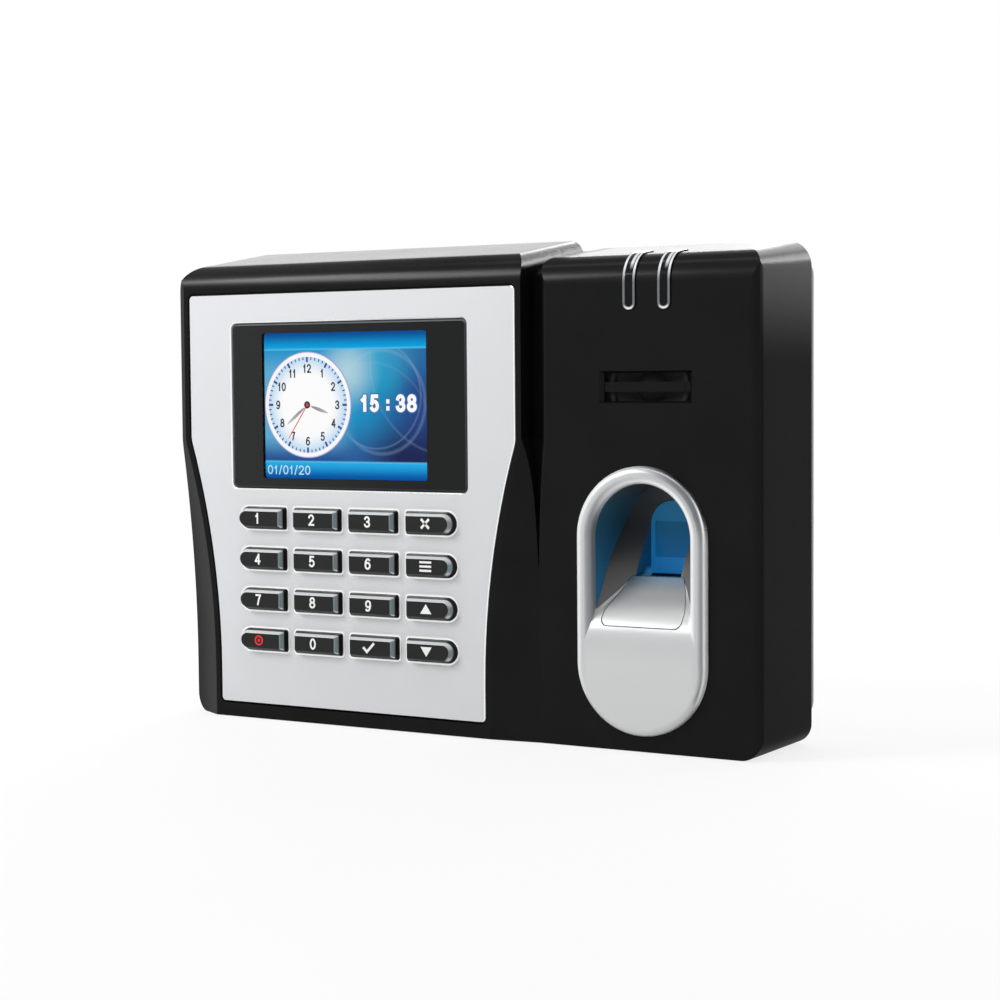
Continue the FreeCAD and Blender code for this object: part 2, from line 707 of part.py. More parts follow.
def housing_cavity(wall):
    """The hollow of the housing; a thicker wall gives the outline of the cover's lip."""
    back = shell_depth + 1.0
    slope = top_slope_display
    display = side_prism(left_x + wall, groove_left - wall, 0, back, 0, display_block_height + slope, slope,
                         top_round, wall)
    corners = (display_corner_round, groove_corner_round, 0, 0)
    display = display.common(top_rounding(left_x, groove_left, display_block_height, slope, wall, corners, corners))
    display = display.common(bottom_rounding(left_x, groove_left, wall, 0, bottom_corner_round))
    display = display.common(block(left_x, groove_left, wall_back, back, 0, case_top))
    display = display.common(waist_body(wall * math.sqrt(1 + flank_slope ** 2)))
    slope = top_slope_scanner
    scanner = side_prism(groove_right + wall, right_x - wall, scanner_set_back, back, 0, scanner_block_height + slope,
                         slope, top_round, wall)
    scanner = scanner.common(top_rounding(groove_right, right_x, scanner_block_height, slope, wall,
                                          (scanner_groove_round, scanner_corner_front_round, 0, 0),
                                          (scanner_groove_round, scanner_corner_round, 0, 0)))
    scanner = scanner.common(bottom_rounding(groove_right, right_x, wall, bottom_corner_round, 0))
    bridge = side_prism(groove_left - wall - 1.0, groove_right + wall + 1.0, groove_depth, back, 0,
                        groove_back_height + groove_slope, groove_slope, 3.0, wall)
    return fuse([display, scanner, bridge])


def key_openings(grow, y0, y1):
    return fuse([key_outline(i, x, z, grow, y0, y1)
                 for i, x in enumerate(key_centres_x) for z in key_centres_z])


def key_outline(column, x, z, grow, y0, y1):
    """Key hole outline: the outer columns have one round end."""
    width = key_hole_width + 2 * grow
    height = key_hole_height + 2 * grow
    small = max(key_corner + grow, 0.3)
    left = height / 2 - 1e-4 if column == 0 else small
    right = height / 2 - 1e-4 if column == key_columns - 1 else small
    return rounded_block(x - width / 2, x + width / 2, z - height / 2, z + height / 2, y0, y1,
                         (left, right, right, left))


def top_band(x, width, outer, inner):
    """A strip that follows the scanner block's front and top: from outer proud of the face to inner below it."""
    far = shell_depth
    x0 = x - width / 2
    x1 = x + width / 2
    strip = side_prism(x0, x1, scanner_set_back, far, 0, scanner_block_height, top_slope_scanner, top_round, -outer)
    strip = strip.cut(side_prism(x0 - 1, x1 + 1, scanner_set_back, far + 1, -1, scanner_block_height
                                 + top_slope_scanner, top_slope_scanner, top_round, inner))
    low = guide_low_z - (width - guide_width) / 2
    back = guide_back + (width - guide_width) / 2
    return strip.common(rounded_block(x0, x1, low, case_top + 10, scanner_set_back - 5, back,
                                      (0, 0, width / 2 - 1e-4, width / 2 - 1e-4)))


def speaker_slot():
    """Opening with sloping edges, less the crossbar."""
    face = scanner_set_back
    outer = rounded_wire(slot_x - slot_width / 2, slot_x + slot_width / 2, slot_centre_z - slot_height / 2,
                         slot_centre_z + slot_height / 2, face, (0, 0, 0, 0))
    c = slot_chamfer
    inner = rounded_wire(slot_x - slot_width / 2 + c, slot_x + slot_width / 2 - c,
                         slot_centre_z - slot_height / 2 + c * 0.5, slot_centre_z + slot_height / 2 - c * 0.5,
                         face + c, (0, 0, 0, 0))
    mouth = Part.makeLoft([outer, inner], True, True)
    through = block(slot_x - slot_width / 2 + c, slot_x + slot_width / 2 - c, face + c, face + wall + 0.5,
                    slot_centre_z - slot_height / 2 + c * 0.5, slot_centre_z + slot_height / 2 - c * 0.5)
    bar = block(slot_x - bar_width / 2, slot_x + bar_width / 2, face + bar_set_back, face + wall + 1,
                slot_centre_z - bar_height / 2, slot_centre_z + bar_height / 2)
    ends = block(slot_x - slot_width / 2, slot_x + slot_width / 2, face + wall - 0.9, face + wall + 1,
                 slot_centre_z - bar_height / 2, slot_centre_z + bar_height / 2)
    return mouth.fuse(through).cut(bar.fuse(ends))


def speaker_hooks():
    """Three nubs on the speaker's ring that catch its rim."""
    hooks = []
    for angle in (90, 210, 330):
        nub = Part.makeBox(2.2, 1.0, 4.0, V(slot_x + speaker_radius - 0.8, speaker_front + 2.7, slot_centre_z - 2.0))
        nub.rotate(V(slot_x, 0, slot_centre_z), V(0, 1, 0), angle)
        hooks.append(nub)
    return hooks


def socket_openings():
    y1 = main_board_front
    network_y = y1 - network_size[1] / 2
    power_y = y1 - power_size[1] / 2
    return [
        block(network_x - network_mouth[0] / 2 - 0.6, network_x + network_mouth[0] / 2 + 0.6,
              network_y - network_mouth[1] / 2 - 0.6, network_y + network_mouth[1] / 2 + 0.6, -1, wall + 1),
        block(usb_x - usb_size[0] / 2, usb_x + usb_size[0] / 2, y1 - usb_size[1], y1, -1, wall + 1),
        Part.makeCylinder(power_size[0] / 2, wall + 2, V(power_x, power_y, -1)),
    ]


def front_housing():
    outer = housing_outer()
    shell = outer.cut(housing_cavity(wall))
    root = 0.8                              # how far the posts reach into the wall
    bosses = [rod(x, z, case_boss_radius, wall_back - root, case_boss_back) for x, z in case_bosses[:3]]
    bosses += [rod(x, z, case_boss_radius, scanner_wall_back - root, case_boss_back) for x, z in case_bosses[3:]]
    bosses += [rod(x, z, boss_radius, wall_back - root, front_board_front) for x, z in board_boss_marks]
    bosses += [rod(x, z, boss_radius, scanner_wall_back - root, well_depth) for x, z in sensor_ears]
    bosses += [rod(x, z, indicator_post_radius, scanner_wall_back - root, indicator_board_front)
               for x, z in indicator_posts]
    bosses.append(tube(slot_x, slot_centre_z, speaker_radius + fit_gap + speaker_ring_wall,
                       speaker_radius + fit_gap, scanner_wall_back - root, speaker_back))
    bosses += speaker_hooks()
    bosses.append(Part.makeCylinder(lock_boss_radius, lock_boss_top, V(lock_x, lock_y, 0)))
    kept = waist_body(wall * 0.5).fuse(block(crease_x - 1, right_x + 5, scanner_set_back + wall * 0.4,
                                             shell_depth, -20, case_top + 20))
    shell = shell.fuse(fuse(bosses).common(kept).common(outer))

    cuts = [waisted_prism(panel_gap, -5, panel_thickness, panel_corner + panel_gap)]
    cuts.append(slab(lcd_x, window_centre_z, lcd_active_width + 3.0, lcd_active_height + 3.0, 0, 5, 0.8))
    cuts.append(slab(lcd_x, window_centre_z, lcd_width + 2 * board_gap, lcd_height + 2 * board_gap, lcd_front,
                     wall_back + 1, 0.6))
    cuts.append(key_openings(fit_gap, 0, wall_back + 1))
    for x in guide_centres:
        cuts.append(top_band(x, guide_width + 2 * boss_gap, 1.0, wall + 0.6))
    cuts.append(speaker_slot())
    cuts.append(oval(bezel_x, bezel_width / 2 - bezel_land + boss_gap, bezel_bottom + bezel_land - boss_gap,
                     bezel_top - bezel_land + boss_gap, -5, scanner_wall_back + 1))
    cuts += socket_openings()
    cuts.append(Part.makeCylinder(lock_head_radius + 0.35, lock_seat + 1, V(lock_x, lock_y, -1)))
    cuts.append(Part.makeCylinder(lock_radius + hole_gap, lock_boss_top + 2, V(lock_x, lock_y, -1)))
    for x, z in case_bosses:
        cuts.append(rod(x, z, case_screw_radius + thread_gap, case_boss_back - case_screw_length, case_boss_back + 1))
    for x, z in board_boss_marks:
        cuts.append(rod(x, z, screw_radius + thread_gap, wall_back + 0.6, front_board_front + 1))
    for x, z in sensor_ears:
        cuts.append(rod(x, z, screw_radius + thread_gap, well_depth - 7.0, well_depth + 1))
    for x, z in indicator_posts:
        cuts.append(rod(x, z, screw_radius + thread_gap, scanner_wall_back + 0.6, indicator_board_front + 1))
    for cut in cuts:
        shell = shell.cut(cut)
    return shell


# ---- panel, lens and display ------------------------------------------------------------------------------------------

def edges_at_depth(shape, y, minimum=0.0):
    return [e for e in shape.Edges if e.BoundBox.YLength < 1e-6 and abs(e.BoundBox.YMin - y) < 1e-6
            and e.Length > minimum]


def control_panel():
    """Silver plate whose outer edge, window and key holes all have a small bright bevel."""
    panel = waisted_prism(0.0, 0, panel_thickness, panel_corner)
    panel = panel.cut(slab(panel_x, window_centre_z, window_width, window_height, -1, panel_thickness + 1,
                           window_corner))
    panel = panel.cut(key_openings(0.0, -1, panel_thickness + 1))
    return panel.makeChamfer(panel_bevel, edges_at_depth(panel, 0))


def display_lens():
    lens = slab(panel_x, window_centre_z, window_width - 2 * fit_gap, window_height - 2 * fit_gap, lens_set_back,
                panel_thickness, window_corner - fit_gap)
    return lens.makeChamfer(0.6, edges_at_depth(lens, lens_set_back))


def lcd_frame():
    """Bent steel tray: a thin front lip and sides round the glass."""
    y0, y1 = lcd_front, lcd_back
    tray = slab(lcd_x, window_centre_z, lcd_width, lcd_height, y0, y1, 0.5)
    tray = tray.cut(slab(lcd_x, window_centre_z, lcd_width - 0.8, lcd_height - 0.8, y0 + 0.3, y1 + 1))
    return tray.cut(slab(lcd_x, window_centre_z, lcd_active_width + 2.4, lcd_active_height + 2.4, y0 - 1, y1))


def lcd_glass():
    y0 = lcd_front + 0.3
    return slab(lcd_x, window_centre_z, lcd_width - 1.0, lcd_height - 1.0, y0, y0 + lcd_glass_thickness)


def lcd_backlight():
    y0 = lcd_front + 0.3 + lcd_glass_thickness
    return slab(lcd_x, window_centre_z, lcd_width - 1.0, lcd_height - 1.0, y0, lcd_back)


def lcd_holder():
    """Moulded frame between the display and the front board, with a rib along each side."""
    y0, y1 = lcd_back, front_board_front
    outer = slab(lcd_x, window_centre_z, lcd_width, lcd_height, y0, y1, 1.0)
    holder = outer.cut(slab(lcd_x, window_centre_z, lcd_width - 9.0, lcd_height - 9.0, y0 - 1, y1 + 1, 2.0))
    relief = block(lcd_x - 12.0, lcd_x + 12.0, y0 + 1.2, y1 + 1, window_centre_z - lcd_height, window_centre_z)
    return holder.cut(relief)


def lcd_ribbon():
    """Flat flexible tail: out under the backlight, folded down to the front board."""
    half = 10.0
    z = window_centre_z - lcd_height / 2 + 6.5
    face_y = lcd_back
    t = 0.15
    r = 1.0
    low = z - 8.0
    flat = block(lcd_x - half, lcd_x + half, face_y, face_y + t, z, z + 5.0)
    drop_y = front_board_front - t
    bend = tube_sector(lcd_x - half, lcd_x + half, face_y + r, z, r, r - t)
    run = block(lcd_x - half, lcd_x + half, face_y + r, drop_y - 0.6, z - r, z - r + t)
    down = block(lcd_x - half, lcd_x + half, drop_y - 0.6, drop_y - 0.6 + t, low, z - r + t)
    foot = block(lcd_x - half, lcd_x + half, drop_y - 0.6, drop_y + t, low - 2.0, low)
    return fuse([flat, bend, run, down, foot])


def tube_sector(x0, x1, y, z, outer, inner):
    """Quarter of a thin tube along X, below and before the point (y, z)."""
    quarter = Part.makeCylinder(outer, x1 - x0, V(x0, y, z), V(1, 0, 0)).cut(
        Part.makeCylinder(inner, x1 - x0 + 2, V(x0 - 1, y, z), V(1, 0, 0)))
    return quarter.common(block(x0, x1, y - outer, y, z - outer, z))


# ---- keypad -----------------------------------------------------------------------------------------------------------

def key_wire(column, x, z, shrink, y):
    width = key_hole_width - 2 * key_gap - 2 * shrink
    height = key_hole_height - 2 * key_gap - 2 * shrink * 0.8
    small = max(key_corner - key_gap - shrink * 0.3, 0.3)
    left = height / 2 - 1e-3 if column == 0 else small
    right = height / 2 - 1e-3 if column == key_columns - 1 else small
    return rounded_wire(x - width / 2, x + width / 2, z - height / 2, z + height / 2, y,
                        (left, right, right, left))


def key_cap(column, x, z):
    """Cap with sloping sides, a flange behind the wall and a stem down to its contact."""
    shoulder = -0.35
    body = Part.Face(key_wire(column, x, z, 0.0, shoulder)).extrude(V(0, flange_front - shoulder, 0))
    crown = Part.makeLoft([key_wire(column, x, z, 0.0, shoulder),
                           key_wire(column, x, z, key_taper * 0.9, 0.18 - key_proud),
                           key_wire(column, x, z, key_taper * 1.12, -key_proud)], True, True)
    flange = slab(x, z, key_hole_width + 2 * key_flange, key_hole_height + 2 * key_flange, flange_front, flange_back,
                  1.2)
    stem = rod(x, z, stem_radius, flange_back, stem_back)
    return fuse([body, crown, flange, stem])


def keypad_mat():
    """Silicone sheet on the front board, with a collar round each stem."""
    width = (key_columns - 1) * key_pitch_x + key_hole_width + 2.0
    height = (key_rows - 1) * key_pitch_z + key_hole_height + 2.0
    centre_z = (key_centres_z[0] + key_centres_z[-1]) / 2
    mat = slab(key_block_x, centre_z, width, height, mat_front, front_board_front, 2.0)
    bore = stem_radius + board_gap
    for x in key_centres_x:
        for z in key_centres_z:
            cone = Part.makeCone(bore + collar_wall, bore + 2.4, mat_front - collar_front, V(x, collar_front, z),
                                 V(0, 1, 0))
            mat = mat.fuse(cone)
    for x in key_centres_x:
        for z in key_centres_z:
            mat = mat.cut(rod(x, z, bore, collar_front - 1, front_board_front + 1))
    return mat


def front_board():
    board = rounded_block(front_board_left, front_board_right, front_board_bottom, front_board_top,
                          front_board_front, front_board_back, (1.0, 1.0, 1.0, 1.0))
    for x, z in board_boss_marks:
        board = board.cut(rod(x, z, screw_radius + hole_gap, front_board_front - 1, front_board_back + 1))
    return board


def screw(x, z, seat, side, radius, head_radius, head_height, length):
    """Pan head screw with a cross recess, modelled with its head towards +Y and turned round for side -1."""
    head = rod(x, z, head_radius, seat, seat + head_height)
    top = seat + head_height
    head = head.makeFillet(head_height * 0.4, edges_at_depth(head, top))
    reach = head_radius * 0.55
    half = 0.3
    deep = seat + head_height * 0.5
    cross = block(x - reach, x + reach, deep, top + 1, z - half, z + half).fuse(
        block(x - half, x + half, deep, top + 1, z - reach, z + reach))
    body = head.cut(cross).fuse(rod(x, z, radius, seat - length, seat))
    if side < 0:
        body.rotate(V(x, seat, z), V(0, 0, 1), 180)
    return body


def case_screws():
    return Part.makeCompound([screw(x, z, case_seat, 1, case_screw_radius, case_head_radius, case_head_height,
                                    case_screw_length) for x, z in case_bosses])


def board_screws():
    places = [(x, z, front_board_back, 1) for x, z in board_boss_marks]
    places += [(x, z, indicator_board_front + board_thickness, 1) for x, z in indicator_posts]
    places += [(x, z, well_depth + sensor_ear_thickness, 1) for x, z in sensor_ears]
    places += [(x, z, main_board_front, -1) for x, z in main_board_marks]
    return Part.makeCompound([screw(x, z, seat, side, screw_radius, screw_head_radius, screw_head_height,
                                    screw_length) for x, z, seat, side in places])


# ---- scanner block ------------------------------------------------------------------------------------------------------

def light_guide(x):
    """Clear bar let into the front and the top, with a flange behind the wall and a stub facing its lamp."""
    guide = top_band(x, guide_width, guide_proud, wall)
    flange = slab(x, indicator_board_z - 0.4, guide_width + 0.8, 5.2, scanner_wall_back, scanner_wall_back + 0.8)
    stub = rod(x, indicator_board_z, guide_width / 2 - boss_gap, scanner_wall_back - 0.3, scanner_wall_back + 2.6)
    return fuse([guide, flange, stub])


def indicator_leds():
    leds = []
    for x in guide_centres:
        tip = scanner_wall_back + 2.9
        base = indicator_board_front
        dome = Part.makeSphere(1.5, V(x, tip + 1.5, indicator_board_z))
        leds.append(fuse([dome, rod(x, indicator_board_z, 1.5, tip + 1.5, base - 1.0),
                          rod(x, indicator_board_z, 1.9, base - 1.0, base)]))
    return Part.makeCompound(leds)


def indicator_board():
    y0 = indicator_board_front
    board = slab(guide_centre, indicator_board_z, indicator_board_width, indicator_board_height, y0,
                 y0 + board_thickness, 1.0)
    for x, z in indicator_posts:
        board = board.cut(rod(x, z, screw_radius + hole_gap, y0 - 1, y0 + board_thickness + 1))
    return board


def speaker_gasket():
    return tube(slot_x, slot_centre_z, speaker_radius, speaker_radius - 0.8, scanner_wall_back, speaker_front)


def speaker_basket():
    y0 = speaker_front
    rim_back = y0 + 2.6
    can = rod(slot_x, slot_centre_z, speaker_radius, y0, rim_back)
    can = can.cut(Part.makeCone(speaker_radius - 1.6, 5.8, 2.2, V(slot_x, y0, slot_centre_z), V(0, 1, 0)))
    return can.fuse(rod(slot_x, slot_centre_z, speaker_radius * 0.55, rim_back, y0 + speaker_depth))


def speaker_cone():
    """Paper cone with a rolled surround, a flange on the basket's rim and a dust cap."""
    y0 = speaker_front
    flange = tube(slot_x, slot_centre_z, speaker_radius - 0.9, speaker_radius - 2.0, y0 - 0.3, y0)
    roll_radius = 0.9
    roll_centre = speaker_radius - 2.65
    roll = Part.makeTorus(roll_centre, roll_radius, V(slot_x, y0 - 0.2, slot_centre_z), V(0, 1, 0))
    roll = roll.common(rod(slot_x, slot_centre_z, speaker_radius, y0 - 1.5, y0 - 0.1))
    wide = roll_centre - 0.5
    hub = 4.6
    deep = 1.7
    paper = 0.25
    profile = [(wide, -0.3), (hub, deep - paper), (hub, deep), (wide, -0.3 + paper)]
    wire = Part.makePolygon([V(slot_x + r, y0 + d, slot_centre_z) for r, d in profile + profile[:1]])
    cone = Part.Face(wire).revolve(V(slot_x, y0, slot_centre_z), V(0, 1, 0), 360)
    cap = Part.makeSphere(7.5, V(slot_x, y0 + 7.5, slot_centre_z)).common(
        rod(slot_x, slot_centre_z, hub + 0.1, y0 - 1, y0 + deep))
    return fuse([flange, roll, cone, cap])


def scanner_bezel():
    """Silver oval: rounded ring, smooth lower lobe, crest and ramp, and the neck that passes the wall."""
    half = bezel_width / 2
    plate = oval(bezel_x, half, bezel_bottom, bezel_top, bezel_front, scanner_set_back)
    plate = plate.makeFillet(bezel_round, edges_at_depth(plate, bezel_front))
    neck = oval(bezel_x, half - bezel_land, bezel_bottom + bezel_land, bezel_top - bezel_land, scanner_set_back,
                neck_back)
    ramp = well_prism(0.0, bezel_back - 1.0, ramp_back, crest_z - 4.0).common(ramp_prism(0.0, bezel_front, ramp_back))
    opening = well_prism(0.0, bezel_front - 1, ramp_back + 1, crest_z - 16.0).common(finger_space())
    seat = well_prism(guide_tube_wall + boss_gap, guide_front, ramp_back + 1, crest_z - 4.0)
    seat = seat.cut(ramp_prism(0.0, bezel_front - 1, ramp_back + 2))
    body = fuse([plate, neck, ramp]).cut(seat).cut(opening).cut(ring_rounding())
    return body.cut(pad_prism(pad_gap, bezel_front - 1, ramp_back + 1).common(finger_space(pad_thickness)))


def ramp_pad():
    """The inlaid tile on the crest and the ramp."""
    pad = pad_prism(0.0, bezel_front - 1, ramp_back + 1).common(finger_space(pad_thickness))
    return pad.cut(finger_space()).common(block(bezel_x - 20, bezel_x + 20, -5, ramp_back + 5, 0, ramp_top_z))


def finger_guide():
    """The well's side walls, cheeks and hood, seated behind the ring and pierced for the sensor."""
    shell = well_prism(guide_tube_wall, guide_front, well_depth, crest_z - 4.0)
    shell = shell.cut(well_prism(0.0, guide_front - 1, well_depth + 1, crest_z - 16.0).common(finger_space()))
    shell = shell.cut(ramp_prism(guide_seam, guide_front - 5, well_depth + 5))
    return shell.cut(sensor_hole(0.0, guide_front, well_depth + 1))


def sensor_pocket(grow, y0, y1):
    half = sensor_window_half_width + sensor_glass_lip + grow
    return block(bezel_x - half, bezel_x + half, y0, y1, sensor_window_low_z - 0.6 - grow,
                 sensor_window_top_z + 0.6 + grow)


def sensor_frame():
    """Light-spreading frame round the glass."""
    frame = sensor_hole(-sensor_side_gap, sensor_face, well_depth)
    window = block(bezel_x - sensor_window_half_width, bezel_x + sensor_window_half_width, sensor_face - 1,
                   well_depth, sensor_window_low_z, sensor_window_top_z)
    return frame.cut(window).cut(sensor_pocket(boss_gap, sensor_glass_front, well_depth + 1))


def sensor_glass():
    return sensor_pocket(0.0, sensor_glass_front, sensor_glass_back)


def sensor_prism():
    """Wedge behind the glass: deep at its lower end."""
    half = sensor_window_half_width + sensor_glass_lip - 0.1
    low = sensor_window_low_z - 0.4
    top = sensor_window_top_z + 0.4
    y0 = sensor_glass_back
    points = [(y0, low), (y0 + prism_depth, low), (y0 + prism_depth, low + 1.5), (y0 + prism_thin, top), (y0, top)]
    points = [V(bezel_x - half, y, z) for y, z in points]
    return Part.Face(Part.makePolygon(points + points[:1])).extrude(V(2 * half, 0, 0))


def sensor_pins():
    return [(bezel_x - sensor_body_half + 2.5, sensor_body_bottom + 2.5),
            (bezel_x + sensor_body_half - 2.5, sensor_body_top - 2.5)]


def sensor_body():
    """Housing of the prism and the camera, with a bar that is screwed down over the finger guide."""
    body = slab(bezel_x, sensor_ear_z, 2 * sensor_body_half, sensor_body_top - sensor_body_bottom, well_depth,
                sensor_body_back, 1.5)
    bar = slab(bezel_x, sensor_ear_z, 2 * sensor_ear_offset + 7.0, 8.0, well_depth, well_depth + sensor_ear_thickness,
               3.5)
    pins = [rod(x, z, 1.0, sensor_body_back - 0.5, sensor_body_back + sensor_board_thickness)
            for x, z in sensor_pins()]
    body = fuse([body, bar] + pins).cut(sensor_pocket(boss_gap, well_depth - 1, sensor_prism_back))
    body = body.cut(rod(bezel_x, camera_z, camera_radius + fit_gap, well_depth, sensor_body_back + 3))
    for x, z in sensor_ears:
        body = body.cut(rod(x, z, screw_radius + hole_gap, well_depth - 1, sensor_body_back))
    return body


def sensor_camera():
    front = sensor_prism_back - 1.0
    barrel = rod(bezel_x, camera_z, camera_radius, front, sensor_body_back)
    return barrel.cut(Part.makeCone(1.9, 0.9, 0.9, V(bezel_x, front - 0.01, camera_z), V(0, 1, 0)))


def sensor_board():
    """Board behind the sensor body; its tongue on the left takes the ribbon."""
    y0 = sensor_body_back
    y1 = y0 + sensor_board_thickness
    board = slab(bezel_x, sensor_ear_z, 2 * sensor_body_half - 1.0, sensor_body_top - sensor_body_bottom - 2.0,
                 y0, y1, 1.0)
    tongue = block(bezel_x - sensor_body_half - 6.0, bezel_x - sensor_body_half + 3.0, y0, y1, ribbon_z - 6.0,
                   ribbon_z + 6.0)
    board = board.fuse(tongue)
    for x, z in sensor_pins():
        board = board.cut(rod(x, z, 1.0 + boss_gap, y0 - 1, y1 + 1))
    return board


def sensor_ribbon():
    """Flat cable from the sensor board's tongue to the main board's front."""
    t = 0.3
    end = bezel_x - sensor_body_half - 0.5
    far = sensor_body_back
    near = main_board_front
    points = [(main_board_right - 6.0, near - t), (main_board_right + 1.0, near - t), (end - 5.5, far - t),
              (end, far - t), (end, far), (end - 5.5, far), (main_board_right + 1.0, near),
              (main_board_right - 6.0, near)]
    points = [V(x, y, ribbon_z - 4.0) for x, y in points]
    return Part.Face(Part.makePolygon(points + points[:1])).extrude(V(0, 0, 8.0))


# ---- main board --------------------------------------------------------------------------------------------------------

def main_board():
    board = rounded_block(main_board_left, main_board_right, main_board_bottom, main_board_top, main_board_front,
                          main_board_back, (1.0, 1.0, 1.0, 1.0))
    for x, z in main_board_marks:
        board = board.cut(rod(x, z, screw_radius + hole_gap, main_board_front - 1, main_board_back + 1))
    return board


def socket_block(x, size):
    return block(x - size[0] / 2, x + size[0] / 2, main_board_front - size[1], main_board_front, socket_floor,
                 socket_floor + size[2])


def network_socket():
    body = socket_block(network_x, network_size)
    middle = main_board_front - network_size[1] / 2
    w, d, deep = network_mouth
    mouth = block(network_x - w / 2, network_x + w / 2, middle - d / 2, middle + d / 2, socket_floor - 1,
                  socket_floor + deep)
    latch = block(network_x - 3.0, network_x + 3.0, middle - d / 2 - 1.6, middle, socket_floor - 1,
                  socket_floor + deep * 0.6)
    return body.cut(mouth).cut(latch)


def usb_socket():
    body = socket_block(usb_x, usb_size)
    y1 = main_board_front
    w, d, high = usb_size
    mouth = block(usb_x - w / 2 + 0.5, usb_x + w / 2 - 0.5, y1 - d + 0.5, y1 - 0.5, socket_floor - 1,
                  socket_floor + high - 3.0)
    tongue = block(usb_x - w / 2 + 1.1, usb_x + w / 2 - 1.1, y1 - d + 1.1, y1 - d + 2.9, socket_floor + 1.0,
                   socket_floor + high - 2.9)
    return body.cut(mouth).fuse(tongue)


def power_socket():
    body = socket_block(power_x, power_size)
    middle = main_board_front - power_size[1] / 2
    bore = Part.makeCylinder(power_bore, power_size[2] - 3.0, V(power_x, middle, socket_floor - 1))
    pin = Part.makeCylinder(1.0, power_size[2] - 4.0, V(power_x, middle, socket_floor + 0.8))
    return body.cut(bore).fuse(pin)


def coin_cell_holder():
    x, z = coin_place
    y1 = main_board_front
    ring = tube(x, z, coin_radius + 1.6, coin_radius + fit_gap, y1 - 4.0, y1 - 1.0)
    floor = rod(x, z, coin_radius + 1.6, y1 - 1.0, y1)
    gap = block(x - 5.0, x + 5.0, y1 - 5.0, y1 - 1.0, z, z + coin_radius + 3.0)
    return ring.fuse(floor).cut(gap)


def coin_cell():
    x, z = coin_place
    y1 = main_board_front - 1.0
    return fuse([rod(x, z, coin_radius, y1 - 2.4, y1), rod(x, z, coin_radius - 1.4, y1 - 3.2, y1 - 2.4)])


def processor_shield():
    x, z = shield_place
    y1 = main_board_front
    can = slab(x, z, shield_width, shield_height, y1 - 2.6, y1, 1.0)
    return can.cut(slab(x, z, shield_width - 0.6, shield_height - 0.6, y1 - 2.3, y1 + 1, 0.7))


def board_chips():
    """Chips and two capacitors: place on the board, width, height, thickness."""
    y1 = main_board_front
    chips = []
    for x, z, w, h, t in ((44.0, 62.0, 12.0, 9.0, 1.2), (60.0, 62.0, 10.0, 14.0, 1.0), (70.0, 40.0, 7.0, 7.0, 1.4),
                          (16.0, 34.0, 6.0, 4.0, 2.4), (16.0, 43.0, 5.0, 5.0, 1.8)):
        chips.append(slab(main_board_left + x, main_board_bottom + z, w, h, y1 - t, y1, 0.2))
    for x in (62.0, 71.0):
        chips.append(rod(main_board_left + x, main_board_bottom + 26.0, 3.1, y1 - 7.0, y1))
    return Part.makeCompound(chips)


def display_ribbon():
    """Flat cable from the back of the front board to the main board's front."""
    t = 0.3
    near = front_board_back
    far = main_board_front
    high = front_board_top - 13.1
    low = high - 10.0
    top = main_board_top - 4.0
    points = [(near, high), (near, low), (far - t, top), (far - t, top - 7.0), (far, top - 7.0), (far, top),
              (near + t, low), (near + t, high)]
    points = [V(panel_x - 8.0, y, z) for y, z in points]
    return Part.Face(Part.makePolygon(points + points[:1])).extrude(V(16.0, 0, 0))


# ---- back cover and wall plate ---------------------------------------------------------------------------------------------

def recess_block(grow, y0, y1):
    half = plate_width / 2 + plate_gap + grow
    low = plate_bottom - lift_off - grow
    high = plate_top + plate_gap + grow
    return block(-half, half, y0, y1, low, high)


def lock_tab(grow, drop, y0, y1):
    """The plate's bent tab at the bottom, or the room it needs on its way in."""
    low = plate_bottom
    return block(lock_x - 8.0 - grow, lock_x + 8.0 + grow, y0, y1, low - grow - drop, low + plate_thickness + grow)


